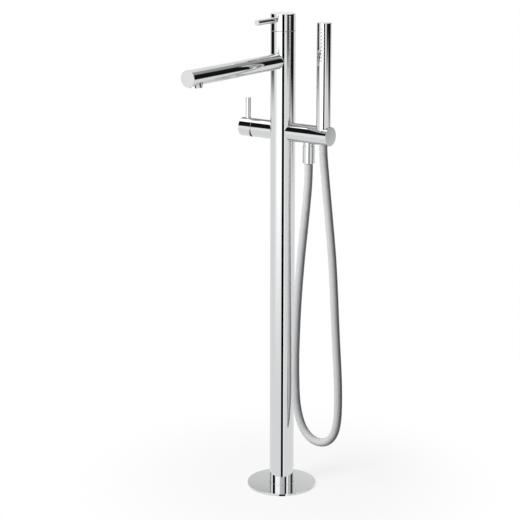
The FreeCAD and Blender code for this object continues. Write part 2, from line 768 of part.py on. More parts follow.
def cartridge_body():
    """Ceramic cartridge's case, with the turret's socket."""
    corners = (
        ("0", POCKET_FLOOR + " + fit_gap"),
        ("mixer_pocket / 2 - fit_gap", POCKET_FLOOR + " + fit_gap"),
        ("mixer_pocket / 2 - fit_gap", NUT_START + " - fit_gap"),
        ("turret_diameter / 2 + shaft_gap", NUT_START + " - fit_gap"),
        ("turret_diameter / 2 + shaft_gap", NUT_START + " - turret_insert - joint_gap"),
        ("0", NUT_START + " - turret_insert - joint_gap"),
    )
    node("cartridge_body", lathe("cartridge_case", corners, "-X", ("0", "0", "arm_height")))


def cartridge_ring_nut():
    """Ring nut that holds the cartridge; its bore is the turret's bearing."""
    ring = sleeve("cartridge_ring", "turret_diameter / 2 + shaft_gap", "mixer_pocket / 2 - fit_gap",
                  NUT_START, NUT_START + " + ring_nut_length", "-X", ("0", "0", "arm_height"))
    outer_face = "-" + NUT_START + " - ring_nut_length"
    slots = []
    for name, deep, tall in (("y", "mixer_pocket", "spanner_slot"), ("z", "spanner_slot", "mixer_pocket")):
        slots.append(block("cartridge_slot_" + name, "spanner_slot_depth", deep, tall,
                           (outer_face, "-" + deep + " / 2", "arm_height - " + tall + " / 2")))
    node("cartridge_ring_nut", cut("cartridge_ring_slotted", ring, *slots))


def cartridge_turret():
    """Turns in the ring nut for the temperature; the stem tilts in its slot about a pin."""
    dome = lathe("turret_drum", (
        ("0", NUT_START + " - turret_insert"),
        ("turret_diameter / 2", NUT_START + " - turret_insert"),
        ("turret_diameter / 2", "mixer_reach - joint_gap - edge_break"),
        ("turret_diameter / 2 - edge_break", "mixer_reach - joint_gap"),
        ("0", "mixer_reach - joint_gap"),
    ), "-X", ("0", "0", "arm_height"))
    slot = block("turret_slot", "mixer_reach - stem_pivot + 2 * stem_tail - fit_gap",
                 "stem_width + 4 * fit_gap", "turret_slot_above + turret_slot_below",
                 ("-mixer_reach", "-stem_width / 2 - 2 * fit_gap", "arm_height - turret_slot_below"))
    pin_hole = rod("turret_pin_hole", "stem_pin_diameter / 2 + saddle_gap", "turret_diameter + 2", "+Y",
                   ("-stem_pivot", "-turret_diameter / 2 - 1", "arm_height"))
    node("cartridge_turret", cut("turret_slotted", dome, slot, pin_hole))


def stem_pin():
    length = "turret_diameter - 2 * edge_break"
    node("stem_pin", rod("stem_pivot_pin", "stem_pin_diameter / 2", length, "+Y",
                         ("-stem_pivot", "edge_break - turret_diameter / 2", "arm_height")))


def cartridge_stem():
    """Square stem between the turret's pin and the handle."""
    bar = block("stem_bar", STEM_END + " - stem_pivot + stem_tail", "stem_width", "stem_width",
                ("-" + STEM_END, "-stem_width / 2", "arm_height - stem_width / 2"))
    hole = rod("stem_pin_hole", "stem_pin_diameter / 2 + shaft_gap", "stem_width", "+Y",
               ("-stem_pivot", "-stem_width / 2", "arm_height"))
    node("cartridge_stem", cut("stem_drilled", bar, hole))


def mixer_handle():
    """Turned handle whose lower back is cut to a wedge, so that it can tilt towards the body."""
    body = lathe("handle_turned", (
        ("handle_cavity / 2", HANDLE_START),
        (ARM_RADIUS + " - edge_break / 2", HANDLE_START),
        (ARM_RADIUS, HANDLE_START + " + edge_break / 2"),
        (ARM_RADIUS, HANDLE_END + " - edge_break"),
        (ARM_RADIUS + " - edge_break", HANDLE_END),
        ("0", HANDLE_END),
        ("0", HANDLE_START + " + handle_cavity_depth"),
        ("handle_cavity / 2", HANDLE_START + " + handle_cavity_depth"),
    ), "-X", ("0", "0", "arm_height"))
    wedge = outline(body, "handle_wedge", (
        ("0", HANDLE_START),
        ("-arm_diameter", HANDLE_START),
        ("-arm_diameter", HANDLE_START + " + arm_diameter * tan(handle_wedge_angle)"),
    ))
    pocket(body, wedge, midplane=True)
    half = "(stem_width / 2 + saddle_gap)"
    socket = outline(body, "handle_socket", (
        ("-" + half, "-" + half),
        (half, "-" + half),
        (half, half),
        ("-" + half, half),
    ), plane="XY_Plane", lift=HANDLE_START + " + handle_cavity_depth")
    pocket(body, socket, "stem_insert + fit_gap", reverse=True)
    shoulder = circle(body, "handle_lever_hole", "lever_diameter + 2 * saddle_gap",
                      along="handle_lever_distance", plane="YZ_Plane", lift="lever_seat")
    pocket(body, shoulder, ARM_RADIUS, reverse=True)
    stud = circle(body, "handle_stud_hole", "lever_stud + 2 * saddle_gap", along="handle_lever_distance",
                  plane="YZ_Plane", lift="lever_seat - lever_stud_length - fit_gap")
    pocket(body, stud, "lever_stud_length + 2 * fit_gap", reverse=True)
    screw = circle(body, "handle_screw_hole", "set_screw_diameter + 2 * saddle_gap",
                   along="handle_screw_distance", plane="YZ_Plane")
    pocket(body, screw, ARM_RADIUS)
    node("mixer_handle", body)


def mixer_lever():
    lever("mixer_lever", "+Z", ("-handle_lever_distance", "0", "arm_height + lever_seat"),
          "lever_height - lever_seat")


def handle_grub_screw():
    node("handle_grub_screw", set_screw("handle_screw", "-Z", (
        "-handle_screw_distance", "0", "arm_height - stem_width / 2 - fit_gap")))


# ---------------------------------------------------------------- spout

def branch_nipple(name, direction, start, height):
    """Hollow nipple from a block in the column to the branch outside it."""
    node(name, sleeve(name + "_wall", NIPPLE_RADIUS + " - nipple_wall", NIPPLE_RADIUS,
                      start + " + fit_gap", COLUMN_RADIUS + " + nipple_grip",
                      direction, ("0", "0", height)))


def spout_plug():
    """Brass root of the spout, saddled on the column, that the nipple screws into."""
    ring = sleeve("plug_ring", "arm_bore / 2", SPOUT_BORE + " - fit_gap", "column_diameter / 4",
                  "spout_plug_end", "-Y", ("0", "0", "spout_height"))
    node("spout_plug", cut("plug_saddled", ring, column_skin("plug_column")))


def spout_tube():
    """Straight chrome tube with a closed flat end, saddled on the column, open below for the aerator."""
    tube = lathe("spout_wall_tube", (
        (SPOUT_BORE, "column_diameter / 4"),
        (SPOUT_RADIUS, "column_diameter / 4"),
        (SPOUT_RADIUS, "spout_reach - edge_break"),
        (SPOUT_RADIUS + " - edge_break", "spout_reach"),
        ("0", "spout_reach"),
        ("0", "spout_reach - spout_end_wall"),
        (SPOUT_BORE, "spout_reach - spout_end_wall"),
    ), "-Y", ("0", "0", "spout_height"))
    mouth = rod("spout_mouth", "aerator_diameter / 2 + fit_gap", "spout_diameter", "-Z",
                (AERATOR_AT[0], AERATOR_AT[1], "spout_height"))
    node("spout_tube", cut("spout_opened", tube, column_skin("spout_column"), mouth))


def aerator_boss():
    """Brass boss in the spout's bore that takes the aerator's thread, with a way in from the root side."""
    post = rod("boss_post", "aerator_boss_length / 2", "spout_diameter", "+Z",
               (AERATOR_AT[0], AERATOR_AT[1], "spout_height - spout_diameter / 2"))
    core = rod("boss_core", SPOUT_BORE + " - fit_gap", "spout_reach - spout_end_wall - fit_gap", "-Y",
               ("0", "0", "spout_height"))
    tools = [
        rod("boss_thread", "aerator_thread / 2 + saddle_gap",
            AERATOR_TOP + " + aerator_gasket_height + 2 * fit_gap", "+Z", AERATOR_AT),
        rod("boss_way", "way_diameter", "aerator_boss_length", "-Y",
            ("0", "aerator_setback - spout_reach + aerator_boss_length", "spout_height")),
    ]
    node("aerator_boss", cut("boss_drilled", common("boss_blank", post, core), *tools))


def aerator_housing():
    """Chrome ring that screws into the boss; its collar shows below the spout."""
    lip = "aerator_bore / 2 - aerator_lip"
    node("aerator_housing", lathe("housing_ring", (
        (lip, AERATOR_BOTTOM),
        ("aerator_diameter / 2 - edge_break", AERATOR_BOTTOM),
        ("aerator_diameter / 2", AERATOR_BOTTOM + " + edge_break"),
        ("aerator_diameter / 2", AERATOR_BOTTOM + " + aerator_collar"),
        ("aerator_thread / 2", AERATOR_BOTTOM + " + aerator_collar"),
        ("aerator_thread / 2", AERATOR_TOP),
        ("aerator_bore / 2", AERATOR_TOP),
        ("aerator_bore / 2", AERATOR_BOTTOM + " + aerator_grille_recess"),
        (lip, AERATOR_BOTTOM + " + aerator_grille_recess"),
    ), "+Z", AERATOR_AT))


def aerator_insert():
    """Plastic jet cup with two rings of holes round a middle one."""
    start = AERATOR_BOTTOM + " + aerator_grille_recess + fit_gap"
    rim = "aerator_bore / 2 - saddle_gap"
    body = lathe("insert_cup", (
        ("0", start),
        (rim, start),
        (rim, AERATOR_TOP + " - fit_gap"),
        (rim + " - aerator_insert_wall", AERATOR_TOP + " - fit_gap"),
        (rim + " - aerator_insert_wall", start + " + aerator_grille_thickness"),
        ("0", start + " + aerator_grille_thickness"),
    ), "+Z", AERATOR_AT)
    middle = circle(body, "insert_middle_hole", "aerator_grille_hole", lift=start)
    pocket(body, middle, "aerator_grille_thickness", reverse=True)
    for name, radius, count in (("inner", "aerator_ring_inner", 6), ("outer", "aerator_ring_outer", 12)):
        hole = circle(body, "insert_%s_hole" % name, "aerator_grille_hole", across=radius, lift=start)
        drilled = pocket(body, hole, "aerator_grille_thickness", reverse=True)
        ring = body.newObject("PartDesign::PolarPattern", "insert_%s_ring" % name)
        ring.Originals = [drilled]
        ring.Axis = (hole, ["N_Axis"])
        ring.Angle = 360
        ring.Occurrences = count
        body.Tip = ring
    node("aerator_insert", body)


def aerator_gasket():
    node("aerator_gasket", sleeve("gasket_ring", "aerator_bore / 2 - aerator_insert_wall",
                                  "aerator_thread / 2", AERATOR_TOP + " + saddle_gap",
                                  AERATOR_TOP + " + saddle_gap + aerator_gasket_height", "+Z", AERATOR_AT))


# ---------------------------------------------------------------- handset arm, outlet and hose

def handset_arm():
    """Right arm: saddled on the column, bored for the water, the hose outlet and the handset."""
    bar = lathe("arm_bar", (
        ("0", "column_diameter / 4"),
        (ARM_RADIUS, "column_diameter / 4"),
        (ARM_RADIUS, "arm_reach - edge_break"),
        (ARM_RADIUS + " - edge_break", "arm_reach"),
        ("0", "arm_reach"),
    ), "+X", ("0", "0", "arm_height"))
    tools = [
        column_skin("arm_column"),
        rod("arm_water_bore", "arm_bore / 2",
            "holder_distance - handset_diameter / 2 - holder_gap - arm_end_wall", "+X",
            ("0", "0", "arm_height")),
        rod("arm_outlet_hole", "outlet_diameter / 2 + saddle_gap", ARM_RADIUS, "-Z",
            ("outlet_distance", "0", "arm_height - arm_bore / 2 + outlet_seat")),
        rod("arm_holder_bore", HOLDER_RADIUS, "arm_diameter", "+Z", ("holder_distance", "0", HOLDER_FLOOR)),
        rod("arm_hose_hole", "hose_hole_diameter / 2", "arm_diameter", "-Z",
            ("holder_distance", "0", "arm_height")),
    ]
    node("handset_arm", cut("arm_bored", bar, *tools))


def holder_bush():
    """Conical plastic bush in the arm's bore: the seat of the hose's conical nut."""
    node("holder_bush", lathe("bush_ring", (
        (BUSH_LOW_BORE, BUSH_START),
        (HOLDER_RADIUS + " - fit_gap", BUSH_START),
        (HOLDER_RADIUS + " - fit_gap", BUSH_END),
        (BUSH_HIGH_BORE, BUSH_END),
    ), "+Z", ("holder_distance", "0", "0")))


def hose_outlet():
    """Threaded outlet nipple under the arm."""
    node("hose_outlet", sleeve("outlet_wall", "outlet_bore / 2", "outlet_diameter / 2", OUTLET_BOTTOM,
                               "arm_height - arm_bore / 2 + outlet_seat - fit_gap", "+Z",
                               ("outlet_distance", "0", "0")))


def hose_nut():
    """Long round nut of the hose, bored from above for the outlet's thread."""
    thread = "outlet_diameter / 2 + saddle_gap"
    floor = HOSE_NUT_TOP + " - hose_nut_thread_depth"
    edge = "hose_nut_diameter / 2"
    node("hose_nut", lathe("hose_nut_round", (
        ("hose_bore / 2", HOSE_NUT_BOTTOM),
        (edge + " - hose_nut_edge", HOSE_NUT_BOTTOM),
        (edge, HOSE_NUT_BOTTOM + " + hose_nut_edge"),
        (edge, HOSE_NUT_TOP + " - edge_break"),
        (edge + " - edge_break", HOSE_NUT_TOP),
        (thread, HOSE_NUT_TOP),
        (thread, floor),
        ("hose_bore / 2", floor),
    ), "+Z", ("outlet_distance", "0", "0")))


def nut_washer():
    floor = HOSE_NUT_TOP + " - hose_nut_thread_depth"
    node("nut_washer", sleeve("nut_washer_ring", "outlet_bore / 2", "outlet_diameter / 2 - fit_gap", floor,
                              floor + " + washer_thickness", "+Z", ("outlet_distance", "0", "0")))


def cone_nut():
    """Conical nut at the hose's other end: it sits in the bush and carries the handset on its thread."""
    thread = "handset_thread / 2 + shaft_gap"
    neck = BUSH_LOW_BORE + " - " + CONE_GAP + " - joint_gap"
    node("cone_nut", lathe("cone_nut_turned", (
        ("water_bore / 2", CONE_NUT_FOOT),
        (neck, CONE_NUT_FOOT),
        (neck, BUSH_START),
        (BUSH_LOW_BORE + " - " + CONE_GAP, BUSH_START),
        (BUSH_HIGH_BORE + " - " + CONE_GAP, BUSH_END),
        (BUSH_HIGH_BORE + " - " + CONE_GAP, CONE_NUT_END),
        (thread, CONE_NUT_END),
        (thread, NUT_SEAT),
        ("water_bore / 2", NUT_SEAT),
    ), "+Z", ("holder_distance", "0", "0")))


def cone_washer():
    node("cone_washer", sleeve("cone_washer_ring", "water_bore / 2", "handset_thread / 2 - fit_gap", NUT_SEAT,
                               NUT_SEAT + " + washer_thickness", "+Z", ("holder_distance", "0", "0")))


def route_points():
    """The hose's points: out of its nut, along the loop and up to the conical nut."""
    nut_bottom = (size("arm_height") - size("arm_diameter") / 2 - size("outlet_neck")
                  - size("hose_nut_length"))
    cone_foot = size("arm_height") - size("holder_floor") - size("cone_nut_neck_drop")
    start = FreeCAD.Vector(size("outlet_distance"), 0, nut_bottom)
    end = FreeCAD.Vector(size("holder_distance"), 0, cone_foot - size("joint_gap"))
    lead = start - FreeCAD.Vector(0, 0, size("hose_lead"))
    tail = end - FreeCAD.Vector(0, 0, size("hose_tail"))
    loop = [FreeCAD.Vector(x, y, size("arm_height") - drop) for x, y, drop in HOSE_ROUTE]
    return [start, lead] + loop + [tail, end]


def rounded_route(points):
    """Straight runs joined by tangent arcs, each as large as its two runs allow."""
    edges = []
    radii = []
    last = points[0]
    for before, corner, after in zip(points, points[1:], points[2:]):
        run_in = corner - before
        run_out = after - corner
        tangent = 0.45 * min(run_in.Length, run_out.Length)
        ahead = FreeCAD.Vector(run_in).normalize()
        onward = FreeCAD.Vector(run_out).normalize()
        turn = ahead.getAngle(onward)
        radius = tangent / math.tan(turn / 2)
        entry = corner - ahead * tangent
        leave = corner + onward * tangent
        inward = FreeCAD.Vector(onward - ahead).normalize()
        middle = corner + inward * (radius / math.cos(turn / 2) - radius)
        edges.append(Part.LineSegment(last, entry).toShape())
        edges.append(Part.Arc(entry, middle, leave).toShape())
        radii.append(radius)
        last = leave
    edges.append(Part.LineSegment(last, points[-1]).toShape())
    return Part.Wire(edges), radii


def swept(route, radius):
    """A round solid along the route, which starts straight down."""
    start = route.Edges[0].Vertexes[0].Point
    ring = Part.Wire(Part.makeCircle(radius, start, route.Edges[0].tangentAt(route.Edges[0].FirstParameter)))
    return route.makePipeShell([ring], True, False)


def shower_hose():
    """Smooth flexible hose between the outlet's nut and the conical nut."""
    route, radii = rounded_route(route_points())
    outer = size("hose_diameter") / 2
    inner = size("hose_bore") / 2
    hose = swept(route, outer).cut(swept(route, inner))
    thing = document.addObject("Part::Feature", "hose_wall")
    thing.Shape = hose
    thing.Placement = FreeCAD.Placement()
    section = math.pi * (outer ** 2 - inner ** 2)
    print("hose length %.1f mm" % route.Length)
    print("hose volume %.1f of %.1f mm3" % (hose.Volume, section * route.Length))
    print("hose radii " + ", ".join("%.0f" % radius for radius in radii))
    node("shower_hose", thing)


# ---------------------------------------------------------------- handset

def nozzle_grid(body, feature):
    """Repeats one nozzle down its column and round the handset's axis."""
    grid = body.newObject("PartDesign::MultiTransform", feature.Name + "_grid")
    grid.Originals = [feature]
    rows = body.newObject("PartDesign::LinearPattern", feature.Name + "_rows")
    rows.Direction = (plane_of(body, "Z_Axis"), [""])
    rows.Reversed = True
    bind(rows, Length="nozzle_pitch * (nozzle_rows - 1)", Occurrences="nozzle_rows")
    columns = body.newObject("PartDesign::PolarPattern", feature.Name + "_columns")
    columns.Axis = (plane_of(body, "Z_Axis"), [""])
    bind(columns, Angle="nozzle_spread", Occurrences="nozzle_columns")
    grid.Transformations = [rows, columns]
    body.Tip = grid


def handset_tube():
    """Slim stick of thin tube, with a grid of nozzle holes near its top."""
    body = lathe("handset_wall_tube", (
        (HANDSET_BORE, HANDSET_BOTTOM),
        (HANDSET_RADIUS + " - edge_break", HANDSET_BOTTOM),
        (HANDSET_RADIUS, HANDSET_BOTTOM + " + edge_break"),
        (HANDSET_RADIUS, "handset_top - edge_break"),
        (HANDSET_RADIUS + " - edge_break", "handset_top"),
        (HANDSET_BORE, "handset_top"),
    ), "+Z", ("holder_distance", "0", "0"), -size("nozzle_spread") / 2)
    hole = circle(body, "nozzle_hole", "nozzle_diameter + 2 * saddle_gap",
                  along="handset_top - nozzle_top_drop", plane="XZ_Plane")
    drilled = pocket(body, hole, "handset_diameter", reverse=True)
    nozzle_grid(body, drilled)
    node("handset_tube", body)


def nozzle_sleeve():
    """Soft sleeve behind the tube's wall, whose nozzles stand in the holes and a little proud."""
    low = "handset_top - nozzle_top_drop - nozzle_pitch * (nozzle_rows - 1) - nozzle_sleeve_margin"
    high = "handset_top - nozzle_top_drop + nozzle_sleeve_margin"
    outer = HANDSET_BORE + " - fit_gap"
    body = lathe("nozzle_sleeve_wall", (
        (outer + " - nozzle_sleeve_wall", low),
        (outer, low),
        (outer, high),
        (outer + " - nozzle_sleeve_wall", high),
    ), "+Z", ("holder_distance", "0", "0"), -size("nozzle_spread") / 2)
    seat = outer + " - nozzle_sleeve_wall / 2"
    spot = circle(body, "nozzle", "nozzle_diameter", along="handset_top - nozzle_top_drop", plane="XZ_Plane",
                  lift=seat)
    jet = body.newObject("PartDesign::Pad", "nozzle_jet")
    jet.Profile = spot
    bind(jet, Length=HANDSET_RADIUS + " + nozzle_proud - (" + seat + ")")
    nozzle_grid(body, jet)
    node("nozzle_sleeve", body)


def handset_end_cap():
    edge = HANDSET_BORE + " - saddle_gap"
    node("handset_end_cap", lathe("end_cap_plug", (
        ("0", "handset_top - end_cap_height"),
        (edge, "handset_top - end_cap_height"),
        (edge, "handset_top - edge_break / 2"),
        (edge + " - edge_break / 2", "handset_top"),
        ("0", "handset_top"),
    ), "+Z", ("holder_distance", "0", "0")))


def handset_inlet():
    """Brass plug in the handset's foot, with the threaded neck that screws into the conical nut."""
    shoulder = HANDSET_BOTTOM + " + edge_break"
    edge = HANDSET_BORE + " - saddle_gap"
    node("handset_inlet", lathe("inlet_plug", (
        ("water_bore / 2", NUT_SEAT + " + washer_thickness + joint_gap"),
        ("handset_thread / 2", NUT_SEAT + " + washer_thickness + joint_gap"),
        ("handset_thread / 2", shoulder),
        (edge, shoulder),
        (edge, shoulder + " + handset_inlet_height"),
        ("water_bore / 2", shoulder + " + handset_inlet_height"),
    ), "+Z", ("holder_distance", "0", "0")))


# ---------------------------------------------------------------- build and write

def build():
    floor_plate()
    foot_spigot()
    cover_flange()
    flange_seal()
    column_tube()
    column_screws()
    inlet_block()
    straight_pipe("hot_pipe", INLET_TOP, VALVE_BOTTOM, y="supply_offset")
    straight_pipe("cold_pipe", INLET_TOP, VALVE_BOTTOM, y="-supply_offset")
    straight_pipe("mixed_riser", VALVE_TOP, "diverter_block_start")
    straight_pipe("return_pipe", VALVE_TOP, "diverter_block_start", x="return_offset")
    valve_block()
    diverter_block()
    diverter_cartridge()
    diverter_nut()
    glide_ring()
    diverter_stem()
    diverter_knob()
    knob_lever()
    knob_grub_screw()
    mixer_body()
    cartridge_body()
    cartridge_ring_nut()
    cartridge_turret()
    stem_pin()
    cartridge_stem()
    mixer_handle()
    mixer_lever()
    handle_grub_screw()
    branch_nipple("spout_nipple", "-Y", "spout_nipple_start", "spout_height")
    spout_plug()
    spout_tube()
    aerator_boss()
    aerator_housing()
    aerator_insert()
    aerator_gasket()
    branch_nipple("arm_nipple", "+X", "nipple_start", "arm_height")
    handset_arm()
    holder_bush()
    hose_outlet()
    hose_nut()
    nut_washer()
    cone_nut()
    cone_washer()
    shower_hose()
    handset_tube()
    nozzle_sleeve()
    handset_end_cap()
    handset_inlet()
    document.recompute()


def check():
    """Stops before anything is written if an object failed or a shape is not sound."""
    for thing in document.Objects:
        if "Invalid" in thing.State or "Error" in thing.State:
            raise RuntimeError("%s is %s" % (thing.Name, thing.State))
    for thing in nodes:
        if thing.Shape.isNull() or not thing.Shape.isValid() or not thing.Shape.Solids:
            raise RuntimeError("%s has no sound shape" % thing.Label)


def write():
    os.makedirs("parts", exist_ok=True)
    for thing in nodes:
        thing.Shape.exportStep("parts/%s.step" % thing.Label)


sheet = fill_sheet()
build()
check()
write()
for thing in nodes:
    print("%-20s %2d solid %10.1f mm3" % (thing.Label, len(thing.Shape.Solids), thing.Shape.Volume))
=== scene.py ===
import math
import bpy
import bmesh
from mathutils import Matrix, Vector


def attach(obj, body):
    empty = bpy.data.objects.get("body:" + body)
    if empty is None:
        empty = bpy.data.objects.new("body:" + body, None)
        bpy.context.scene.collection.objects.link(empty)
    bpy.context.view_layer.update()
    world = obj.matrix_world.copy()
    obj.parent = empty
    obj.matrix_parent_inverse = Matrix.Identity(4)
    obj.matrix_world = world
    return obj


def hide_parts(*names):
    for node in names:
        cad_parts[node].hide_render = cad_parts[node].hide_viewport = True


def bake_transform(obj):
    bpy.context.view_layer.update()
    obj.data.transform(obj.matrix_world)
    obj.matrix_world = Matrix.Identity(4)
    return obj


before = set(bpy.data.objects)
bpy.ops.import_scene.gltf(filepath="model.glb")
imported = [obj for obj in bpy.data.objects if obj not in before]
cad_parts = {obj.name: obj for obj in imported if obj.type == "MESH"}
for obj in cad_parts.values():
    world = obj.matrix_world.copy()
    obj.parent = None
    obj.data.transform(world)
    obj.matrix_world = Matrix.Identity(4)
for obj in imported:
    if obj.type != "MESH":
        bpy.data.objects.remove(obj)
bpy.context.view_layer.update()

# Floor standing bath filler. Sizes below are in millimetres and MM turns them into metres.
# +Z is up, the spout points along -Y, the handset arm along +X and the mixer along -X.
# Lengths along a branch are measured from the column's axis.
MM = 0.001

SEAM = 0.05                 # hair's width between pieces that fit into or round each other
CRISP = 0.25                # rounding of edges at a seam
SOFT = 0.5                  # rounding of edges that a hand meets
BRANCH_ROOT = 11.0          # where a branch's blank starts, before the column's round is cut from it
CLEAR = 30.0                # how far a cutting tool goes, past the skin

COLUMN_RADIUS = 22.5
COLUMN_BORE = 20.5
COLUMN_FOOT = 2.7
COLUMN_TOP = 849.5
FLANGE_RADIUS = 64.0
FLANGE_TOP = 4.0
FLANGE_WALL = 1.2
FOOT_SCREW_HOLE = 3.0
FOOT_SCREW_ROOT = 10.0
FOOT_SCREW_HEIGHT = 38.0
FOOT_SCREW_ANGLE = 60.0     # each side of the back

KNOB_TOP = 880.0
KNOB_BOTTOM = 850.2
KNOB_BORE = 17.5
KNOB_CEILING = 861.0
STEM_SOCKET = 4.05
STEM_SOCKET_TOP = 866.1
SET_SCREW_HOLE = 2.5
KNOB_SCREW_ROOT = 6.0
KNOB_SCREW_HEIGHT = 864.8
LEVER_RADIUS = 5.0
KNOB_LEVER_AXIS = 870.0
KNOB_LEVER_SEAT = 18.0
KNOB_LEVER_REACH = 80.0

ARM_AXIS = 671.0
ARM_STRETCH = (600.0, 740.0)        # heights on the column that hold the arms with room to spare
ARM_RADIUS = 17.0
ARM_REACH = 101.5
MIXER_REACH = 59.3
MIXER_POCKET = 14.6
MIXER_POCKET_FLOOR = 30.0
HANDLE_START = 59.8
HANDLE_END = 86.3
HANDLE_CAVITY = 13.0
HANDLE_CAVITY_DEPTH = 5.5
HANDLE_SLOPE = 11.71        # how far the handle's face has sloped back two radii below its axis
HANDLE_SCREW = 69.5
HANDLE_SCREW_ROOT = 4.0     # this and the next two are distances from the arm's axis
HANDLE_LEVER_SEAT = 8.0
HANDLE_LEVER_HEIGHT = 53.6
HANDLE_LEVER = 75.4

SPOUT_AXIS = 797.0
SPOUT_STRETCH = (740.0, 849.0)      # and the spout
SPOUT_RADIUS = 14.0
SPOUT_BORE = 12.5
SPOUT_REACH = 275.0
SPOUT_END_WALL = 2.0
AERATOR_Y = -253.5
AERATOR_MOUTH = 12.1        # radius of the hole in the spout's wall
AERATOR_BOTTOM = 780.6
AERATOR_RADIUS = 12.0
AERATOR_THREAD = 10.95
AERATOR_BORE = 9.8
AERATOR_LIP = 9.2
AERATOR_COLLAR_TOP = 784.5
AERATOR_TOP = 792.0
COMB_BOTTOM = 781.5
COMB_RADIUS = 8.7
COMB_PITCH = 1.3
COMB_COUNT = 17             # cells along each side of the sheet that the comb is cut from
COMB_THICKNESS = 2.0
CELL_RADIUS = 0.78
CELL_HOLE = 0.62
CUP_BORE = 8.6

HOLDER_X = 86.0
HOLDER_BORE = 13.35
HOLDER_FLOOR = 661.5
HOSE_HOLE = 9.3
HANDSET_RADIUS = 13.0
HANDSET_BORE = 11.5
HANDSET_FOOT = 674.6
HANDSET_TOP = 869.0
END_CAP_RADIUS = 11.45
END_CAP_BOTTOM = 862.0
FIRST_NOZZLES = 859.0       # height of the top row
NOZZLE_ROWS = 10
NOZZLE_COLUMNS = 4
NOZZLE_PITCH = 6.1
NOZZLE_SPREAD = 70.0        # degrees between the outer columns

OUTLET_X = 56.0
OUTLET_RADIUS = 10.0
OUTLET_BORE = 6.0
OUTLET_BOTTOM = 638.6
OUTLET_TOP = 664.9
HOSE_NUT_RADIUS = 11.0
HOSE_NUT_THREAD = 10.05
HOSE_NUT_BORE = 4.5
HOSE_NUT_BOTTOM = 619.0
HOSE_NUT_SEAT = 636.5
HOSE_NUT_TOP = 650.5

HOSE_DIAMETER = 15.0
HOSE_ROUTE = (
    (56.0, 0.0, 619.0), (56.0, 0.0, 586.6), (50.9, -2.0, 523.1), (41.9, -2.9, 439.2), (35.5, -3.6, 355.8),
    (31.7, -3.7, 259.2), (32.0, -2.8, 202.1), (34.3, -1.8, 158.7), (46.9, -2.4, 121.1), (70.7, -5.9, 103.4),
    (99.5, -9.8, 103.6), (121.9, -13.2, 121.7), (130.7, -13.9, 149.2), (131.5, -12.4, 187.2),
    (129.4, -10.9, 234.7), (122.5, -9.3, 310.3), (113.9, -7.4, 438.8), (103.5, -5.1, 517.5),
    (93.5, -2.4, 588.0), (86.0, 0.0, 640.0), (86.0, 0.0, 655.6),
)


# ---------------------------------------------------------------- camera

CAMERA_PLACE = (1.60631, -2.34859, 1.18459)
CAMERA_TURN = math.radians(35.1866)
CAMERA_PITCH = math.radians(14.0569)
CAMERA_LENS = 112.19
CAMERA_SHIFT = -0.04


def place_camera():
    data = bpy.data.cameras.new("camera")
    camera = bpy.data.objects.new("camera", data)
    bpy.context.scene.collection.objects.link(camera)
    data.sensor_width = 36.0
    data.lens = CAMERA_LENS
    data.shift_y = CAMERA_SHIFT
    camera.location = CAMERA_PLACE
    camera.rotation_euler = (math.pi / 2 - CAMERA_PITCH, 0.0, CAMERA_TURN)
    bpy.context.scene.camera = camera


# ---------------------------------------------------------------- shader and node maths

class Wire:
    """A socket of a node tree: arithmetic on it adds Math nodes, and node() adds any other node."""

    def __init__(self, tree, socket=None):
        self.tree = tree
        self.socket = socket

    def node(self, kind, inputs=None, settings=None, output=0):
        made = self.tree.nodes.new(kind)
        for name, value in (settings or {}).items():
            setattr(made, name, value)
        for name, value in (inputs or {}).items():
            if isinstance(value, Wire):
                self.tree.links.new(value.socket, made.inputs[name])
            else:
                made.inputs[name].default_value = value
        return Wire(self.tree, made.outputs[output] if made.outputs else None)

    def other(self, output):
        """Another output of the node that this socket belongs to."""
        return Wire(self.tree, self.socket.node.outputs[output])

    def math(self, operation, *others, reflected=False):
        values = others + (self,) if reflected else (self,) + others
        return self.node("ShaderNodeMath", dict(enumerate(values)), {"operation": operation})

    def __add__(self, other):
        return self.math("ADD", other)

    def __sub__(self, other):
        return self.math("SUBTRACT", other)

    def __rsub__(self, other):
        return self.math("SUBTRACT", other, reflected=True)

    def __mul__(self, other):
        return self.math("MULTIPLY", other)

    def __truediv__(self, other):
        return self.math("DIVIDE", other)

    def __abs__(self):
        return self.math("ABSOLUTE")

    __radd__ = __add__
    __rmul__ = __mul__

    def rise(self, low, high):
        """0 below low, 1 above high and a smooth step between them."""
        edges = {"Value": self, "From Min": low, "From Max": high}
        return self.node("ShaderNodeMapRange", edges, {"interpolation_type": "SMOOTHSTEP"})

    def tint(self, first, second):
        """The first colour where this value is 0 and the second where it is 1."""
        return self.node("ShaderNodeMix", {0: self, 6: first, 7: second}, {"data_type": "RGBA"}, 2)


def new_tree(kind, name):
    thing = getattr(bpy.data, kind).new(name)
    thing.use_nodes = True
    thing.node_tree.nodes.clear()
    return thing, Wire(thing.node_tree)


def grey(level):
    return (level, level, level, 1.0)


# ---------------------------------------------------------------- finishes

def noise(pen, scale, detail=3.0, stretch=(1.0, 1.0, 1.0)):
    """Noise in object coordinates, stretched along the object's axes."""
    place = pen.node("ShaderNodeTexCoord", output=3)
    spread = pen.node("ShaderNodeMapping", {"Vector": place, "Scale": stretch})
    return pen.node("ShaderNodeTexNoise", {"Vector": spread, "Scale": scale, "Detail": detail})


def finish(name, colours, roughness, metallic, height, depth, mask=lambda pen: noise(pen, 40.0), extra=None):
    """A Principled finish between two colours; roughness, height and mask are made with the tree's pen."""
    material, pen = new_tree("materials", name)
    inputs = {"Base Color": mask(pen).tint(*colours), "Metallic": metallic, "Roughness": roughness(pen)}
    inputs["Normal"] = pen.node("ShaderNodeBump", {"Height": height(pen), "Distance": depth, "Strength": 1.0})
    shader = pen.node("ShaderNodeBsdfPrincipled", inputs | (extra or {}))
    pen.node("ShaderNodeOutputMaterial", {"Surface": shader})
    return material


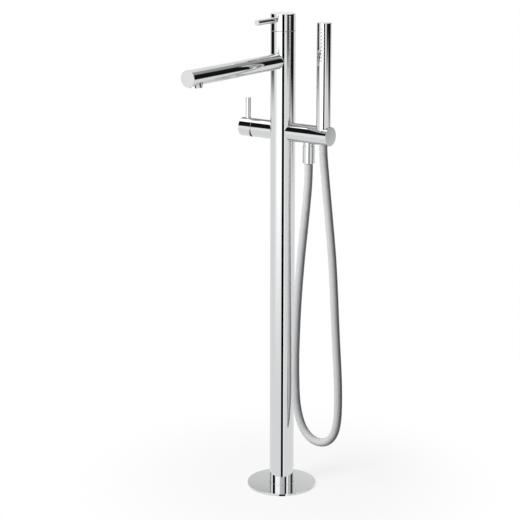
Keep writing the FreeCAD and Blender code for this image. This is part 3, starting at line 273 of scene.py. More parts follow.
def polish(pen):
    """Bright chrome with a breath of haze and faint wiping marks."""
    haze = noise(pen, 22.0, 4.0).rise(0.45, 0.75)
    wiped = noise(pen, 60.0, 6.0, (1.0, 1.0, 0.12)).rise(0.5, 0.8)
    return 0.022 + haze * 0.02 + wiped * 0.012


def polished_chrome():
    """Chrome with the slight waviness that polishing leaves on tube."""
    return finish("polished_chrome", ((0.655, 0.66, 0.665, 1.0), (0.635, 0.64, 0.648, 1.0)), polish, 1.0,
                  lambda pen: noise(pen, 9.0, 1.0, (1.0, 1.0, 0.35)), 0.00006)


def sawn_brass():
    return finish("sawn_brass", ((0.78, 0.57, 0.25, 1.0), (0.66, 0.46, 0.19, 1.0)),
                  lambda pen: 0.28 + noise(pen, 300.0, 5.0, (1.0, 1.0, 0.1)) * 0.2, 1.0,
                  lambda pen: noise(pen, 900.0, 2.0, (1.0, 1.0, 0.05)), 0.00003)


def dulled_brass():
    """Brass painted nearly black: painted shade, for how brass looks deep in a narrow gap."""
    return finish("dulled_brass", ((0.10, 0.085, 0.065, 1.0), (0.06, 0.05, 0.04, 1.0)),
                  lambda pen: 0.45 + noise(pen, 300.0) * 0.2, 0.7, lambda pen: noise(pen, 900.0), 0.00002)


def screw_steel():
    return finish("screw_steel", ((0.5, 0.5, 0.51, 1.0), (0.38, 0.38, 0.4, 1.0)),
                  lambda pen: 0.22 + noise(pen, 500.0) * 0.18, 1.0, lambda pen: noise(pen, 1500.0), 0.00001)


def black_rubber():
    return finish("black_rubber", (grey(0.018), grey(0.035)), lambda pen: 0.6 + noise(pen, 200.0) * 0.2, 0.0,
                  lambda pen: noise(pen, 1200.0), 0.00004)


def soft_nozzle_grey():
    return finish("soft_nozzle_grey", (grey(0.12), grey(0.17)),
                  lambda pen: 0.5 + noise(pen, 800.0) * 0.15, 0.0, lambda pen: noise(pen, 2500.0), 0.00001)


def white_plastic():
    return finish("white_plastic", (grey(0.74), grey(0.8)), lambda pen: 0.34 + noise(pen, 150.0) * 0.12, 0.0,
                  lambda pen: noise(pen, 1800.0), 0.00001)


def grey_plastic():
    return finish("grey_plastic", (grey(0.09), grey(0.13)), lambda pen: 0.4 + noise(pen, 150.0) * 0.15, 0.0,
                  lambda pen: noise(pen, 1800.0), 0.00002)


def silver_hose():
    """Satin silver plastic, a little duller where it is handled."""
    return finish("silver_hose", ((0.635, 0.64, 0.65, 1.0), (0.595, 0.60, 0.61, 1.0)),
                  lambda pen: 0.3 + noise(pen, 60.0) * 0.12, 0.0,
                  lambda pen: noise(pen, 1400.0, 2.0), 0.00001,
                  lambda pen: noise(pen, 120.0), {"Specular IOR Level": 0.25})


def make_finishes():
    return {
        "chrome_brass": polished_chrome(),
        "brass": sawn_brass(),
        "dulled_brass": dulled_brass(),
        "steel": screw_steel(),
        "black_rubber": black_rubber(),
        "soft_grey": soft_nozzle_grey(),
        "white_plastic": white_plastic(),
        "grey_plastic": grey_plastic(),
        "hose_silver": silver_hose(),
    }


# ---------------------------------------------------------------- mesh work

TURNS = {
    "+Z": Matrix.Identity(4),
    "-Z": Matrix.Rotation(math.pi, 4, "X"),
    "+X": Matrix.Rotation(math.pi / 2, 4, "Y"),
    "-X": Matrix.Rotation(-math.pi / 2, 4, "Y"),
    "+Y": Matrix.Rotation(-math.pi / 2, 4, "X"),
    "-Y": Matrix.Rotation(math.pi / 2, 4, "X"),
}
FINE = 256                  # segments round the column
ROUND = 192                 # round the arms and the handset
SMALL = 128                 # round nuts and rings
SLIM = 96                   # round levers
TINY = 48                   # round screws and their holes
ARC_STEPS = 6               # of a rounded edge
CREASE = 28.0               # degrees from which an edge is shaded sharp
RIB_CREASE = 75.0           # the same on the hose, whose ribs stay soft


def rounded(corners, closed):
    """The outline's points in (radius, distance along), with an arc for each corner that has a radius."""
    points = []
    last = len(corners) - 1
    for index, corner in enumerate(corners):
        spot = Vector(corner[:2])
        if len(corner) < 3 or (not closed and index in (0, last)):
            points.append(spot)
            continue
        ahead = (spot - Vector(corners[index - 1][:2])).normalized()
        onward = (Vector(corners[(index + 1) % len(corners)][:2]) - spot).normalized()
        half = ahead.angle(onward) / 2
        reach = corner[2] * math.tan(half)
        centre = spot + (onward - ahead).normalized() * (corner[2] / math.cos(half))
        start = spot - ahead * reach - centre
        swing = start.angle_signed(spot + onward * reach - centre)
        for step in range(ARC_STEPS + 1):
            turn = Matrix.Rotation(-swing * step / ARC_STEPS, 2)
            points.append(centre + turn @ start)
    return points


def turned(corners, direction="+Z", at=(0.0, 0.0, 0.0), closed=False, segments=ROUND):
    """A turned piece's mesh in metres: the outline goes round the axis, and is itself closed for a ring."""
    work = bmesh.new()
    rings = []
    for radius, along in rounded(corners, closed):
        if radius < 1e-6:
            rings.append([work.verts.new((0.0, 0.0, along * MM))] * segments)
            continue
        ring = []
        for step in range(segments):
            turn = 2 * math.pi * step / segments
            spot = (radius * MM * math.cos(turn), radius * MM * math.sin(turn), along * MM)
            ring.append(work.verts.new(spot))
        rings.append(ring)
    pairs = list(zip(rings, rings[1:])) + ([(rings[-1], rings[0])] if closed else [])
    for low, high in pairs:
        for step in range(segments):
            after = (step + 1) % segments
            face = list(dict.fromkeys((low[step], low[after], high[after], high[step])))
            if len(face) > 2:
                work.faces.new(face)
    bmesh.ops.recalc_face_normals(work, faces=work.faces)
    work.transform(Matrix.Translation(Vector(at) * MM) @ TURNS[direction])
    return mesh_of("turned", work)


def rod(radius, start, end, direction="+Z", at=(0.0, 0.0, 0.0), segments=ROUND):
    return turned(((0, start), (radius, start), (radius, end), (0, end)), direction, at, False, segments)


def prism(corners, half_width):
    """A prism across Y from an outline in X and Z."""
    work = bmesh.new()
    near, far = [
        [work.verts.new((x * MM, side * half_width * MM, z * MM)) for x, z in corners] for side in (-1, 1)
    ]
    work.faces.new(near)
    work.faces.new(far)
    for index in range(len(corners)):
        after = (index + 1) % len(corners)
        work.faces.new((near[index], near[after], far[after], far[index]))
    bmesh.ops.recalc_face_normals(work, faces=work.faces)
    return mesh_of("prism", work)


def mesh_of(name, work):
    mesh = bpy.data.meshes.new(name)
    work.to_mesh(mesh)
    work.free()
    return mesh


def object_of(name, mesh):
    thing = bpy.data.objects.new(name, mesh)
    bpy.context.scene.collection.objects.link(thing)
    return thing


def applied(thing):
    """The thing's mesh with its modifiers worked in, which are then removed."""
    graph = bpy.context.evaluated_depsgraph_get()
    mesh = bpy.data.meshes.new_from_object(thing.evaluated_get(graph), depsgraph=graph)
    thing.modifiers.clear()
    return mesh


def carved(mesh, *tools):
    """The mesh with each tool's mesh cut out of it."""
    blank = object_of("blank", mesh)
    helpers = [object_of("tool", tool) for tool in tools]
    for helper in helpers:
        cutting = blank.modifiers.new("cut", "BOOLEAN")
        cutting.operation = "DIFFERENCE"
        cutting.solver = "EXACT"
        cutting.object = helper
    result = applied(blank)
    for helper in helpers + [blank]:
        bpy.data.objects.remove(helper)
    return result


def smoothed(mesh, sharp):
    """Shades the mesh smooth, with sharp edges from this angle in degrees."""
    for face in mesh.polygons:
        face.use_smooth = True
    mesh.set_sharp_from_angle(angle=math.radians(sharp))
    return mesh


def piece(name, mesh, material, body, stands_for):
    """A finished piece: shaded, in its material, on its body, and standing for its CAD nodes."""
    thing = object_of(name, smoothed(mesh, CREASE))
    weighted = thing.modifiers.new("weighted", "WEIGHTED_NORMAL")
    weighted.keep_sharp = True
    thing.data = applied(thing)
    thing.data.materials.clear()
    thing.data.materials.append(material)
    thing.data.name = name
    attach(thing, body)
    if stands_for:
        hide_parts(*stands_for)
    return thing


# ---------------------------------------------------------------- shapes grown by Geometry Nodes

def grower(name, entries):
    """A geometry node group with its named inputs and one geometry output."""
    tree = bpy.data.node_groups.new(name, "GeometryNodeTree")
    tree.interface.new_socket("Geometry", in_out="OUTPUT", socket_type="NodeSocketGeometry")
    for label, kind in entries:
        tree.interface.new_socket(label, in_out="INPUT", socket_type="NodeSocket" + kind)
    source = tree.nodes.new("NodeGroupInput")
    return tree, {label: Wire(tree, source.outputs[label]) for label, kind in entries}


def grown(tree, values):
    """The plain mesh that a tree makes with these values of its named inputs."""
    host = object_of("host", bpy.data.meshes.new("host"))
    modifier = host.modifiers.new("grow", "NODES")
    modifier.node_group = tree
    for item in tree.interface.items_tree:
        if item.in_out == "INPUT" and item.name in values:
            modifier[item.identifier] = values[item.name]
    mesh = applied(host)
    bpy.data.objects.remove(host)
    return mesh


def dressed(pen, geometry, material):
    """Ends the tree with this geometry, realized and in its material."""
    real = pen.node("GeometryNodeRealizeInstances", {"Geometry": geometry})
    coated = pen.node("GeometryNodeSetMaterial", {"Geometry": real, "Material": material})
    pen.node("NodeGroupOutput", {"Geometry": coated})


def planted(pen, points, seed, turn):
    """The seed's mesh on each of the points, turned if a turn is given."""
    item = pen.node("GeometryNodeObjectInfo", {"Object": seed}, output="Geometry")
    spread = {"Points": points, "Instance": item}
    if turn:
        spread["Rotation"] = turn
    return pen.node("GeometryNodeInstanceOnPoints", spread)


def ribbed_tube_tree():
    """A round tube along a curve, with fine rings pressed into its wall."""
    tree, given = grower("ribbed_tube", (
        ("Route", "Object"), ("Step", "Float"), ("Pitch", "Float"), ("Depth", "Float"), ("Radius", "Float"),
        ("Sides", "Int"), ("Material", "Material"),
    ))
    pen = Wire(tree)
    route = pen.node("GeometryNodeObjectInfo", {"Object": given["Route"]}, output="Geometry")
    spaced = {"Curve": route, "Length": given["Step"]}
    even = pen.node("GeometryNodeResampleCurve", spaced, {"mode": "LENGTH"})
    along = pen.node("GeometryNodeSplineParameter", output="Length")
    valley = (along * (2 * math.pi) / given["Pitch"]).math("COSINE") * 0.5 + 0.5
    circle = pen.node("GeometryNodeCurvePrimitiveCircle", {"Resolution": given["Sides"], "Radius": 1.0})
    tube = pen.node("GeometryNodeCurveToMesh", {
        "Curve": even,
        "Profile Curve": circle,
        "Scale": given["Radius"] - valley * given["Depth"],
        "Fill Caps": True,
    })
    dressed(pen, tube, given["Material"])
    return tree


def round_grid_tree():
    """Seeds in rows and columns round an upright tube; the seed points along -Y."""
    tree, given = grower("round_grid", (
        ("Rows", "Int"), ("Columns", "Int"), ("Pitch", "Float"), ("Spread", "Float"), ("Middle", "Float"),
        ("Radius", "Float"), ("Top", "Float"), ("Centre X", "Float"), ("Seed", "Object"),
        ("Material", "Material"),
    ))
    pen = Wire(tree)
    tall = (given["Rows"] - 1) * given["Pitch"]
    grid = pen.node("GeometryNodeMeshGrid", {
        "Size X": given["Spread"],
        "Size Y": tall,
        "Vertices X": given["Columns"],
        "Vertices Y": given["Rows"],
    })
    place = pen.node("ShaderNodeSeparateXYZ", {"Vector": pen.node("GeometryNodeInputPosition")})
    angle = place + given["Middle"]
    spot = pen.node("ShaderNodeCombineXYZ", {
        "X": angle.math("SINE") * given["Radius"] + given["Centre X"],
        "Y": angle.math("COSINE") * given["Radius"] * -1.0,
        "Z": place.other(1) + given["Top"] - tall / 2,
    })
    kept = pen.node("GeometryNodeCaptureAttribute", {"Geometry": grid})
    capture = kept.socket.node
    capture.capture_items.new("FLOAT", "Angle")
    tree.links.new(angle.socket, capture.inputs["Angle"])
    moved = pen.node("GeometryNodeSetPosition", {"Geometry": kept, "Position": spot})
    turn = pen.node("ShaderNodeCombineXYZ", {"Z": Wire(tree, capture.outputs["Angle"])})
    dressed(pen, planted(pen, moved, given["Seed"], turn), given["Material"])
    return tree


def honeycomb_tree():
    """Seeds on a honeycomb of points inside a circle."""
    tree, given = grower("honeycomb", (
        ("Count", "Int"), ("Pitch", "Float"), ("Radius", "Float"), ("Seed", "Object"),
        ("Material", "Material"),
    ))
    pen = Wire(tree)
    row_share = math.sqrt(3.0) / 2.0
    side = (given["Count"] - 1) * given["Pitch"]
    grid = pen.node("GeometryNodeMeshGrid", {
        "Size X": side,
        "Size Y": side * row_share,
        "Vertices X": given["Count"],
        "Vertices Y": given["Count"],
    })
    place = pen.node("ShaderNodeSeparateXYZ", {"Vector": pen.node("GeometryNodeInputPosition")})
    row = (place.other(1) / (given["Pitch"] * row_share)).math("ROUND")
    odd = abs(row).math("MODULO", 2.0)
    shift = pen.node("ShaderNodeCombineXYZ", {"X": odd * given["Pitch"] * 0.5})
    moved = pen.node("GeometryNodeSetPosition", {"Geometry": grid, "Offset": shift})
    after = pen.node("GeometryNodeInputPosition")
    away = pen.node("ShaderNodeVectorMath", {"Vector": after}, {"operation": "LENGTH"}, 1)
    far = away.math("GREATER_THAN", given["Radius"])
    trimmed = pen.node("GeometryNodeDeleteGeometry", {"Geometry": moved, "Selection": far})
    dressed(pen, planted(pen, trimmed, given["Seed"], None), given["Material"])
    return tree


# ---------------------------------------------------------------- column and knob

def column_round(low, high):
    """The tool that cuts a branch between these heights back to just inside the column's skin."""
    return rod(COLUMN_RADIUS - SEAM, low, high)


def make_column(chrome):
    tube = turned(((COLUMN_BORE, COLUMN_FOOT), (COLUMN_RADIUS, COLUMN_FOOT),
                   (COLUMN_RADIUS, COLUMN_TOP, CRISP), (COLUMN_BORE, COLUMN_TOP)), closed=True, segments=FINE)
    holes = []
    for side in (-FOOT_SCREW_ANGLE, FOOT_SCREW_ANGLE):
        hole = rod(FOOT_SCREW_HOLE, FOOT_SCREW_ROOT, CLEAR, "+Y", segments=TINY)
        lift = Matrix.Translation((0.0, 0.0, FOOT_SCREW_HEIGHT * MM))
        hole.transform(lift @ Matrix.Rotation(math.radians(side), 4, "Z"))
        holes.append(hole)
    piece("column", carved(tube, *holes), chrome, "fixed", ["column_tube"])


def make_flange(chrome):
    """A thin shell with a turned-down rim."""
    collar = COLUMN_RADIUS + SEAM
    under = FLANGE_TOP - FLANGE_WALL
    rim = FLANGE_RADIUS - FLANGE_WALL
    shell = turned(((collar, under), (rim, under), (rim, 0.0), (FLANGE_RADIUS, 0.0),
                    (FLANGE_RADIUS, FLANGE_TOP, 0.6), (collar, FLANGE_TOP, 0.7)), closed=True, segments=FINE)
    piece("floor_flange", shell, chrome, "fixed", ["cover_flange"])


def lever_rod(seat, end, direction, at):
    """A lever's round rod with a softened tip."""
    return turned(((0, seat), (LEVER_RADIUS, seat), (LEVER_RADIUS, end, SOFT), (0, end)), direction, at,
                  segments=SLIM)


def make_knob(chrome):
    cap = turned(((0, KNOB_TOP), (COLUMN_RADIUS, KNOB_TOP, SOFT), (COLUMN_RADIUS, KNOB_BOTTOM, CRISP),
                  (KNOB_BORE, KNOB_BOTTOM), (KNOB_BORE, KNOB_CEILING), (STEM_SOCKET, KNOB_CEILING),
                  (STEM_SOCKET, STEM_SOCKET_TOP), (0, STEM_SOCKET_TOP)), segments=FINE)
    hole = rod(SET_SCREW_HOLE, KNOB_SCREW_ROOT, CLEAR, "+Y", (0.0, 0.0, KNOB_SCREW_HEIGHT), TINY)
    piece("knob", carved(cap, hole), chrome, "diverter", ["diverter_knob"])
    lever = lever_rod(KNOB_LEVER_SEAT, KNOB_LEVER_REACH, "-Y", (0.0, 0.0, KNOB_LEVER_AXIS))
    piece("knob_pin", lever, chrome, "diverter", ["knob_lever"])


# ---------------------------------------------------------------- mixer

def make_mixer_body(chrome):
    barrel = turned(((0, BRANCH_ROOT), (ARM_RADIUS, BRANCH_ROOT), (ARM_RADIUS, MIXER_REACH, CRISP),
                     (MIXER_POCKET, MIXER_REACH), (MIXER_POCKET, MIXER_POCKET_FLOOR),
                     (0, MIXER_POCKET_FLOOR)), "-X", (0.0, 0.0, ARM_AXIS))
    barrel = carved(barrel, column_round(*ARM_STRETCH))
    piece("mixer_barrel", barrel, chrome, "fixed", ["mixer_body"])


def make_mixer_handle(chrome, painted_shade):
    """The handle: its face toward the body slopes back below the axis, which leaves room for the tilt."""
    cavity_floor = HANDLE_START + HANDLE_CAVITY_DEPTH
    blank = turned(((0, cavity_floor), (HANDLE_CAVITY, cavity_floor), (HANDLE_CAVITY, HANDLE_START),
                    (ARM_RADIUS, HANDLE_START, CRISP), (ARM_RADIUS, HANDLE_END, SOFT), (0, HANDLE_END)),
                   "-X", (0.0, 0.0, ARM_AXIS))
    below = 2 * ARM_RADIUS
    inboard = HANDLE_START - CLEAR
    wedge = prism(((-HANDLE_START, ARM_AXIS), (-HANDLE_START - HANDLE_SLOPE, ARM_AXIS - below),
                   (-inboard, ARM_AXIS - below), (-inboard, ARM_AXIS)), CLEAR)
    hole = rod(SET_SCREW_HOLE, HANDLE_SCREW_ROOT, CLEAR, "-Z", (-HANDLE_SCREW, 0.0, ARM_AXIS), TINY)
    grip = piece("mixer_grip", carved(blank, wedge, hole), chrome, "handle", ["mixer_handle"])
    # The face that slopes back takes the near-black brass as a second material: painted shade for the gap
    # between handle and body.
    grip.data.materials.append(painted_shade)
    slope = Vector((below, 0.0, -HANDLE_SLOPE)).normalized()
    for face in grip.data.polygons:
        if face.normal.dot(slope) > 0.99:
            face.material_index = 1
    lever = lever_rod(HANDLE_LEVER_SEAT, HANDLE_LEVER_HEIGHT, "+Z", (-HANDLE_LEVER, 0.0, ARM_AXIS))
    piece("mixer_pin", lever, chrome, "handle", ["mixer_lever"])


# ---------------------------------------------------------------- spout

def make_spout(chrome):
    inner_end = SPOUT_REACH - SPOUT_END_WALL
    tube = turned(((SPOUT_BORE, inner_end), (SPOUT_BORE, BRANCH_ROOT), (SPOUT_RADIUS, BRANCH_ROOT),
                   (SPOUT_RADIUS, SPOUT_REACH, SOFT), (0, SPOUT_REACH), (0, inner_end)),
                  "-Y", (0.0, 0.0, SPOUT_AXIS))
    mouth = rod(AERATOR_MOUTH, -CLEAR, 0.0, "+Z", (0.0, AERATOR_Y, SPOUT_AXIS), SMALL)
    tube = carved(tube, column_round(*SPOUT_STRETCH), mouth)
    piece("spout", tube, chrome, "fixed", ["spout_tube"])


def make_aerator(chrome, plastic):
    """The screwed ring, and inside it a cup with a honeycomb that breaks the stream up."""
    lip_top = AERATOR_BOTTOM + 0.8
    ring = turned(((AERATOR_LIP, AERATOR_BOTTOM, 0.2), (AERATOR_RADIUS, AERATOR_BOTTOM, 0.4),
                   (AERATOR_RADIUS, AERATOR_COLLAR_TOP), (AERATOR_THREAD, AERATOR_COLLAR_TOP),
                   (AERATOR_THREAD, AERATOR_TOP), (AERATOR_BORE, AERATOR_TOP), (AERATOR_BORE, lip_top),
                   (AERATOR_LIP, lip_top)), "+Z", (0.0, AERATOR_Y, 0.0), True, SMALL)
    piece("aerator_ring", ring, chrome, "fixed", ["aerator_housing"])
    cell = turned(((CELL_HOLE, 0.0), (CELL_RADIUS, 0.0), (CELL_RADIUS, COMB_THICKNESS),
                   (CELL_HOLE, COMB_THICKNESS)), closed=True, segments=6)
    seed = object_of("cell_seed", cell)
    comb = grown(honeycomb_tree(), {
        "Count": COMB_COUNT,
        "Pitch": COMB_PITCH * MM,
        "Radius": COMB_RADIUS * MM,
        "Seed": seed,
        "Material": plastic,
    })
    comb.transform(Matrix.Translation((0.0, AERATOR_Y * MM, COMB_BOTTOM * MM)))
    piece("aerator_comb", comb, plastic, "fixed", [])
    bpy.data.objects.remove(seed)
    wall = AERATOR_BORE - SEAM
    top = AERATOR_TOP - 0.1
    cup = turned(((CUP_BORE, COMB_BOTTOM), (wall, COMB_BOTTOM), (wall, top), (CUP_BORE, top)), "+Z",
                 (0.0, AERATOR_Y, 0.0), True, SLIM)
    piece("aerator_cup", cup, plastic, "fixed", ["aerator_insert"])


# ---------------------------------------------------------------- handset arm, handset and hose

def make_handset_arm(chrome):
    """The arm with the holder's bore and the hose's hole through it, and the outlet's neck below."""
    bar = turned(((0, BRANCH_ROOT), (ARM_RADIUS, BRANCH_ROOT), (ARM_RADIUS, ARM_REACH, SOFT), (0, ARM_REACH)),
                 "+X", (0.0, 0.0, ARM_AXIS))
    holder = rod(HOLDER_BORE, HOLDER_FLOOR, 700.0, "+Z", (HOLDER_X, 0.0, 0.0))
    throat = rod(HOSE_HOLE, 640.0, HOLDER_FLOOR + 0.5, "+Z", (HOLDER_X, 0.0, 0.0), SMALL)
    bar = carved(bar, column_round(*ARM_STRETCH), holder, throat)
    piece("arm", bar, chrome, "fixed", ["handset_arm"])
    neck = turned(((OUTLET_BORE, OUTLET_BOTTOM), (OUTLET_RADIUS, OUTLET_BOTTOM), (OUTLET_RADIUS, OUTLET_TOP),
                   (OUTLET_BORE, OUTLET_TOP)), "+Z", (OUTLET_X, 0.0, 0.0), True, SLIM)
    piece("outlet_neck", neck, chrome, "fixed", ["hose_outlet"])


def make_hose_collar(chrome):
    """The nut that holds the hose to its outlet."""
    nut = turned(((HOSE_NUT_BORE, HOSE_NUT_BOTTOM), (HOSE_NUT_RADIUS, HOSE_NUT_BOTTOM, 1.2),
                  (HOSE_NUT_RADIUS, HOSE_NUT_TOP, 0.4), (HOSE_NUT_THREAD, HOSE_NUT_TOP),
                  (HOSE_NUT_THREAD, HOSE_NUT_SEAT), (HOSE_NUT_BORE, HOSE_NUT_SEAT)), "+Z",
                 (OUTLET_X, 0.0, 0.0), True, SMALL)
    return piece("hose_collar", nut, chrome, "fixed", ["hose_nut"])


def make_handset(chrome, nozzle_grey, round_grid):
    """The stick handset: tube, end cap and the field of soft nozzles on its front."""
    stick = turned(((HANDSET_BORE, HANDSET_FOOT), (HANDSET_RADIUS, HANDSET_FOOT, 0.4),
                    (HANDSET_RADIUS, HANDSET_TOP, 0.4), (HANDSET_BORE, HANDSET_TOP)), "+Z",
                   (HOLDER_X, 0.0, 0.0), True)
    piece("stick", stick, chrome, "handset", ["handset_tube"])
    cap = turned(((0, END_CAP_BOTTOM), (END_CAP_RADIUS, END_CAP_BOTTOM), (END_CAP_RADIUS, HANDSET_TOP, 0.2),
                  (0, HANDSET_TOP)), "+Z", (HOLDER_X, 0.0, 0.0))
    piece("stick_cap", cap, chrome, "handset", ["handset_end_cap"])
    jet = turned(((0, -0.3), (1.1, -0.3), (1.1, 0.25, 0.12), (0.5, 0.38), (0.42, 0.0), (0, 0.0)), "-Y",
                 segments=14)
    seed = object_of("jet_seed", jet)
    nozzles = grown(round_grid, {
        "Rows": NOZZLE_ROWS,
        "Columns": NOZZLE_COLUMNS,
        "Pitch": NOZZLE_PITCH * MM,
        "Spread": math.radians(NOZZLE_SPREAD),
        "Middle": 0.0,
        "Radius": HANDSET_RADIUS * MM,
        "Top": FIRST_NOZZLES * MM,
        "Centre X": HOLDER_X * MM,
        "Seed": seed,
        "Material": nozzle_grey,
    })
    piece("nozzles", nozzles, nozzle_grey, "handset", ["nozzle_sleeve"])
    bpy.data.objects.remove(seed)


def hose_curve():
    """The NURBS spline whose control points are the route."""
    curve = bpy.data.curves.new("hose_route", "CURVE")
    curve.dimensions = "3D"
    curve.resolution_u = 24
    spline = curve.splines.new("NURBS")
    spline.points.add(len(HOSE_ROUTE) - 1)
    for point, spot in zip(spline.points, HOSE_ROUTE):
        point.co = (spot[0] * MM, spot[1] * MM, spot[2] * MM, 1.0)
    spline.order_u = 3
    spline.use_endpoint_u = True
    return object_of("hose_route", curve)


def make_hose(silver):
    route = hose_curve()
    line = applied(route)
    mesh = grown(ribbed_tube_tree(), {
        "Route": route,
        "Step": 0.35 * MM,
        "Pitch": 2.1 * MM,
        "Depth": 0.22 * MM,
        "Radius": HOSE_DIAMETER / 2 * MM,
        "Sides": 24,
        "Material": silver,
    })
    bpy.data.objects.remove(route)
    hose = object_of("hose", smoothed(mesh, RIB_CREASE))
    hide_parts("shower_hose")
    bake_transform(hose)


# ---------------------------------------------------------------- screws in the column's foot

def make_foot_screws(steel, round_grid):
    """Two screws with a hexagon socket, just below the skin of the column's back."""
    shank = turned(((0, -5.2), (2.9, -5.2), (2.9, 0.0, 0.4), (0, 0.0)), "-Y", segments=TINY)
    key = turned(((0, -1.8), (1.44, -1.8), (1.44, 1.0), (0, 1.0)), "-Y", segments=6)
    seed = object_of("screw_seed", carved(shank, key))
    screws = grown(round_grid, {
        "Rows": 1,
        "Columns": 2,
        "Pitch": 0.0,
        "Spread": math.radians(2 * FOOT_SCREW_ANGLE),
        "Middle": math.pi,
        "Radius": (COLUMN_RADIUS - 0.2) * MM,
        "Top": FOOT_SCREW_HEIGHT * MM,
        "Centre X": 0.0,
        "Seed": seed,
        "Material": steel,
    })
    piece("foot_screws", screws, steel, "fixed", ["column_grub_screws"])
    bpy.data.objects.remove(seed)


# ---------------------------------------------------------------- CAD nodes that stay as they are

KEPT_NODES = {
    "chrome_brass": ("cone_nut",),
    "brass": ("aerator_boss", "arm_nipple", "diverter_block", "diverter_nut", "handset_inlet", "inlet_block",
              "mixed_riser", "hot_pipe", "cold_pipe", "return_pipe", "spout_nipple", "spout_plug",
              "valve_block"),
    # The cartridge's ring nut and stem take the near-black brass: painted shade, as they sit deep in the gap
    # behind the handle.
    "dulled_brass": ("cartridge_ring_nut", "cartridge_stem"),
    "steel": ("diverter_stem", "floor_plate", "foot_spigot", "handle_grub_screw", "knob_grub_screw",
              "stem_pin"),
    "black_rubber": ("aerator_gasket", "cone_washer", "flange_seal", "nut_washer"),
    "white_plastic": ("cartridge_body", "cartridge_turret", "diverter_cartridge"),
    "grey_plastic": ("glide_ring", "holder_bush"),
}


def dress_kept_nodes(finishes):
    for slot, names in KEPT_NODES.items():
        for name in names:
            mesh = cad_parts[name].data
            mesh.materials.clear()
            mesh.materials.append(finishes[slot])


# ---------------------------------------------------------------- studio, floor and lamp

# The studio's soft boxes and dark flags, each hung over the ones before it, in degrees: the bearing of the
# middle from the camera's side and to the right, half the width, the softness of the sides, the lower edge
# and how far it fades, the upper edge and how far it fades, and the level. Only reflections show them.
STUDIO = (
    (-38.5, 27.5, 20.0, -5.5, 15.0, -5.0, 2.5, 2.0),      # front left, low strip of the key box
    (-68.0, 12.0, 12.0, -5.5, 15.0, 48.0, 6.0, 1.15),     # left, dimmer end of the key box
    (-41.0, 25.0, 12.0, 19.0, 4.0, 48.0, 6.0, 2.0),       # front left, upper part of the key box
    (-110.0, 24.0, 8.0, -7.7, 2.0, -4.0, 2.0, 0.01),      # left, low flag
    (42.0, 6.5, 2.0, -6.8, 2.0, 40.0, 4.0, 0.05),         # front right, tall narrow flag
    (71.0, 31.0, 4.0, -6.6, 2.4, -4.0, 2.0, 0.01),        # right, low flag
    (86.0, 16.0, 6.0, -8.0, 2.6, -4.0, 2.0, 0.01),        # right, the low flag's deeper middle
    (102.0, 11.0, 6.0, -8.0, 5.0, 12.0, 6.0, 0.01),       # right, flag
    (110.0, 15.0, 6.0, 6.0, 6.0, 26.0, 8.0, 0.01),        # right, flag above it
    (131.0, 13.0, 10.0, 24.0, 4.0, 42.0, 6.0, 0.42),      # behind at the right, grey card
    (-125.0, 10.0, 4.0, 17.0, 4.0, 42.0, 6.0, 0.1),       # behind at the left, flag
    (-108.0, 8.0, 4.0, 17.0, 4.0, 35.0, 5.0, 2.2),        # left, strip light beside it
    (-81.5, 16.0, 4.0, 13.0, 6.0, 49.0, 4.0, 0.01),       # left, tall flag
    (-123.0, 27.0, 6.0, 52.0, 3.0, 75.0, 5.0, 1.9),       # behind at the left, high box
    (-168.0, 14.0, 6.0, 25.0, 4.0, 46.0, 6.0, 0.3),       # behind, grey card
    (54.0, 6.0, 3.0, 18.0, 4.0, 33.0, 4.0, 2.2),          # front right, small box
    (14.0, 6.0, 4.0, -20.0, 10.0, 6.0, 6.0, 1.3),         # front, low box
    (6.0, 12.0, 3.0, 27.0, 4.0, 60.0, 4.0, 0.01),         # front, high flag over the camera
    (32.0, 4.0, 2.0, 8.0, 6.0, 60.0, 4.0, 0.0),           # front right, tall flag
    (1.3, 10.5, 2.0, -89.0, 1.0, 0.0, 4.0, 0.0),          # front, flag below the horizon
)
DEGREES = 180.0 / math.pi
ROOM_LEVEL = 1.0            # what reflections show between the cards
FILL_LEVEL = 0.08           # what everything else gets from the room


def make_studio():
    world, pen = new_tree("worlds", "studio")
    way = pen.node("ShaderNodeTexCoord")
    parts = pen.node("ShaderNodeSeparateXYZ", {"Vector": way})
    north = parts.other(1)
    toward = parts * math.sin(CAMERA_TURN) - north * math.cos(CAMERA_TURN)
    aside = parts * math.cos(CAMERA_TURN) + north * math.sin(CAMERA_TURN)
    bearing = aside.math("ARCTAN2", toward) * DEGREES
    height = parts.other(2).math("ARCSINE") * DEGREES
    level = ROOM_LEVEL
    for middle, half, soft, low, low_fade, high, high_fade, glow in STUDIO:
        away = abs((bearing - middle).math("WRAP", 180.0, -180.0))
        inside = 1.0 - away.rise(half - soft / 2, half + soft / 2)
        inside = inside * height.rise(low - low_fade, low) * (1.0 - height.rise(high, high + high_fade))
        level = inside * glow + (1.0 - inside) * level
    seen = pen.node("ShaderNodeLightPath")
    mirrored = (seen.other("Is Glossy Ray") + seen.other("Is Transmission Ray")).math("MINIMUM", 1.0)
    level = seen + (1.0 - seen) * (mirrored * level + (1.0 - mirrored) * FILL_LEVEL)
    shine = pen.node("ShaderNodeBackground", {"Color": grey(1.0), "Strength": level})
    pen.node("ShaderNodeOutputWorld", {"Surface": shine})
    bpy.context.scene.world = world


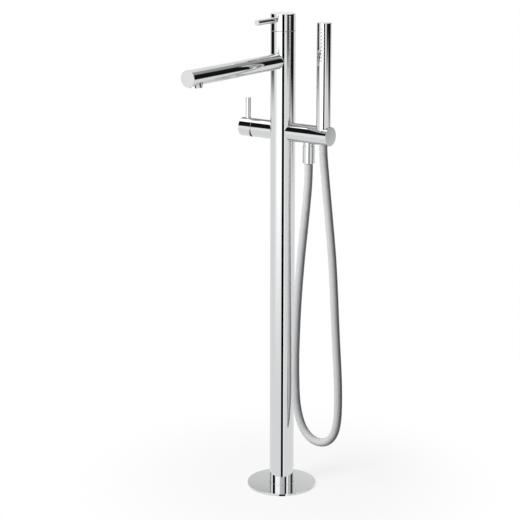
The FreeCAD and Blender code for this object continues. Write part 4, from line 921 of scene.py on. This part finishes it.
def floor_finish():
    """A pale floor that only the camera sees: white, and matte near the object to take its shadow."""
    material, pen = new_tree("materials", "pale_floor")
    place = pen.node("ShaderNodeTexCoord", output=3)
    away = pen.node("ShaderNodeVectorMath", {"Vector": place}, {"operation": "LENGTH"}, 1)
    near = 1.0 - away.rise(0.1, 0.45)
    matte = pen.node("ShaderNodeBsdfDiffuse", {"Color": noise(pen, 90.0).tint(grey(0.9), grey(0.93))})
    white = pen.node("ShaderNodeEmission", {"Color": grey(1.0), "Strength": 1.0})
    mixed = pen.node("ShaderNodeMixShader", {0: near * 0.15, 1: white, 2: matte})
    clear = pen.node("ShaderNodeBsdfTransparent")
    seen = pen.node("ShaderNodeLightPath")
    final = pen.node("ShaderNodeMixShader", {0: seen, 1: clear, 2: mixed})
    pen.node("ShaderNodeOutputMaterial", {"Surface": final})
    return material


def make_floor():
    work = bmesh.new()
    bmesh.ops.create_circle(work, cap_ends=True, segments=96, radius=6.0)
    mesh = mesh_of("floor", work)
    mesh.materials.append(floor_finish())
    object_of("floor", mesh)


def make_lamp():
    """One big soft box at the front left lights all that isn't metal."""
    data = bpy.data.lights.new("softbox", "AREA")
    data.shape = "RECTANGLE"
    data.size = 1.2
    data.size_y = 1.2
    data.energy = 85.0
    lamp = bpy.data.objects.new("softbox", data)
    lamp.location = (-0.78, -2.27, 1.6)
    lamp.rotation_euler = (lamp.location - Vector((0.05, 0.0, 0.4))).to_track_quat("Z", "Y").to_euler()
    lamp.visible_glossy = False
    bpy.context.scene.collection.objects.link(lamp)


# ---------------------------------------------------------------- build

place_camera()
finishes = make_finishes()
chrome = finishes["chrome_brass"]
round_grid = round_grid_tree()
make_column(chrome)
make_flange(chrome)
make_knob(chrome)
make_mixer_body(chrome)
make_mixer_handle(chrome, finishes["dulled_brass"])
make_spout(chrome)
make_aerator(chrome, finishes["white_plastic"])
make_handset_arm(chrome)
collar = make_hose_collar(chrome)
make_handset(chrome, finishes["soft_grey"], round_grid)
make_hose(finishes["hose_silver"])
make_foot_screws(finishes["steel"], round_grid)
dress_kept_nodes(finishes)
make_studio()
make_floor()
make_lamp()
bpy.context.scene.view_settings.view_transform = "Standard"
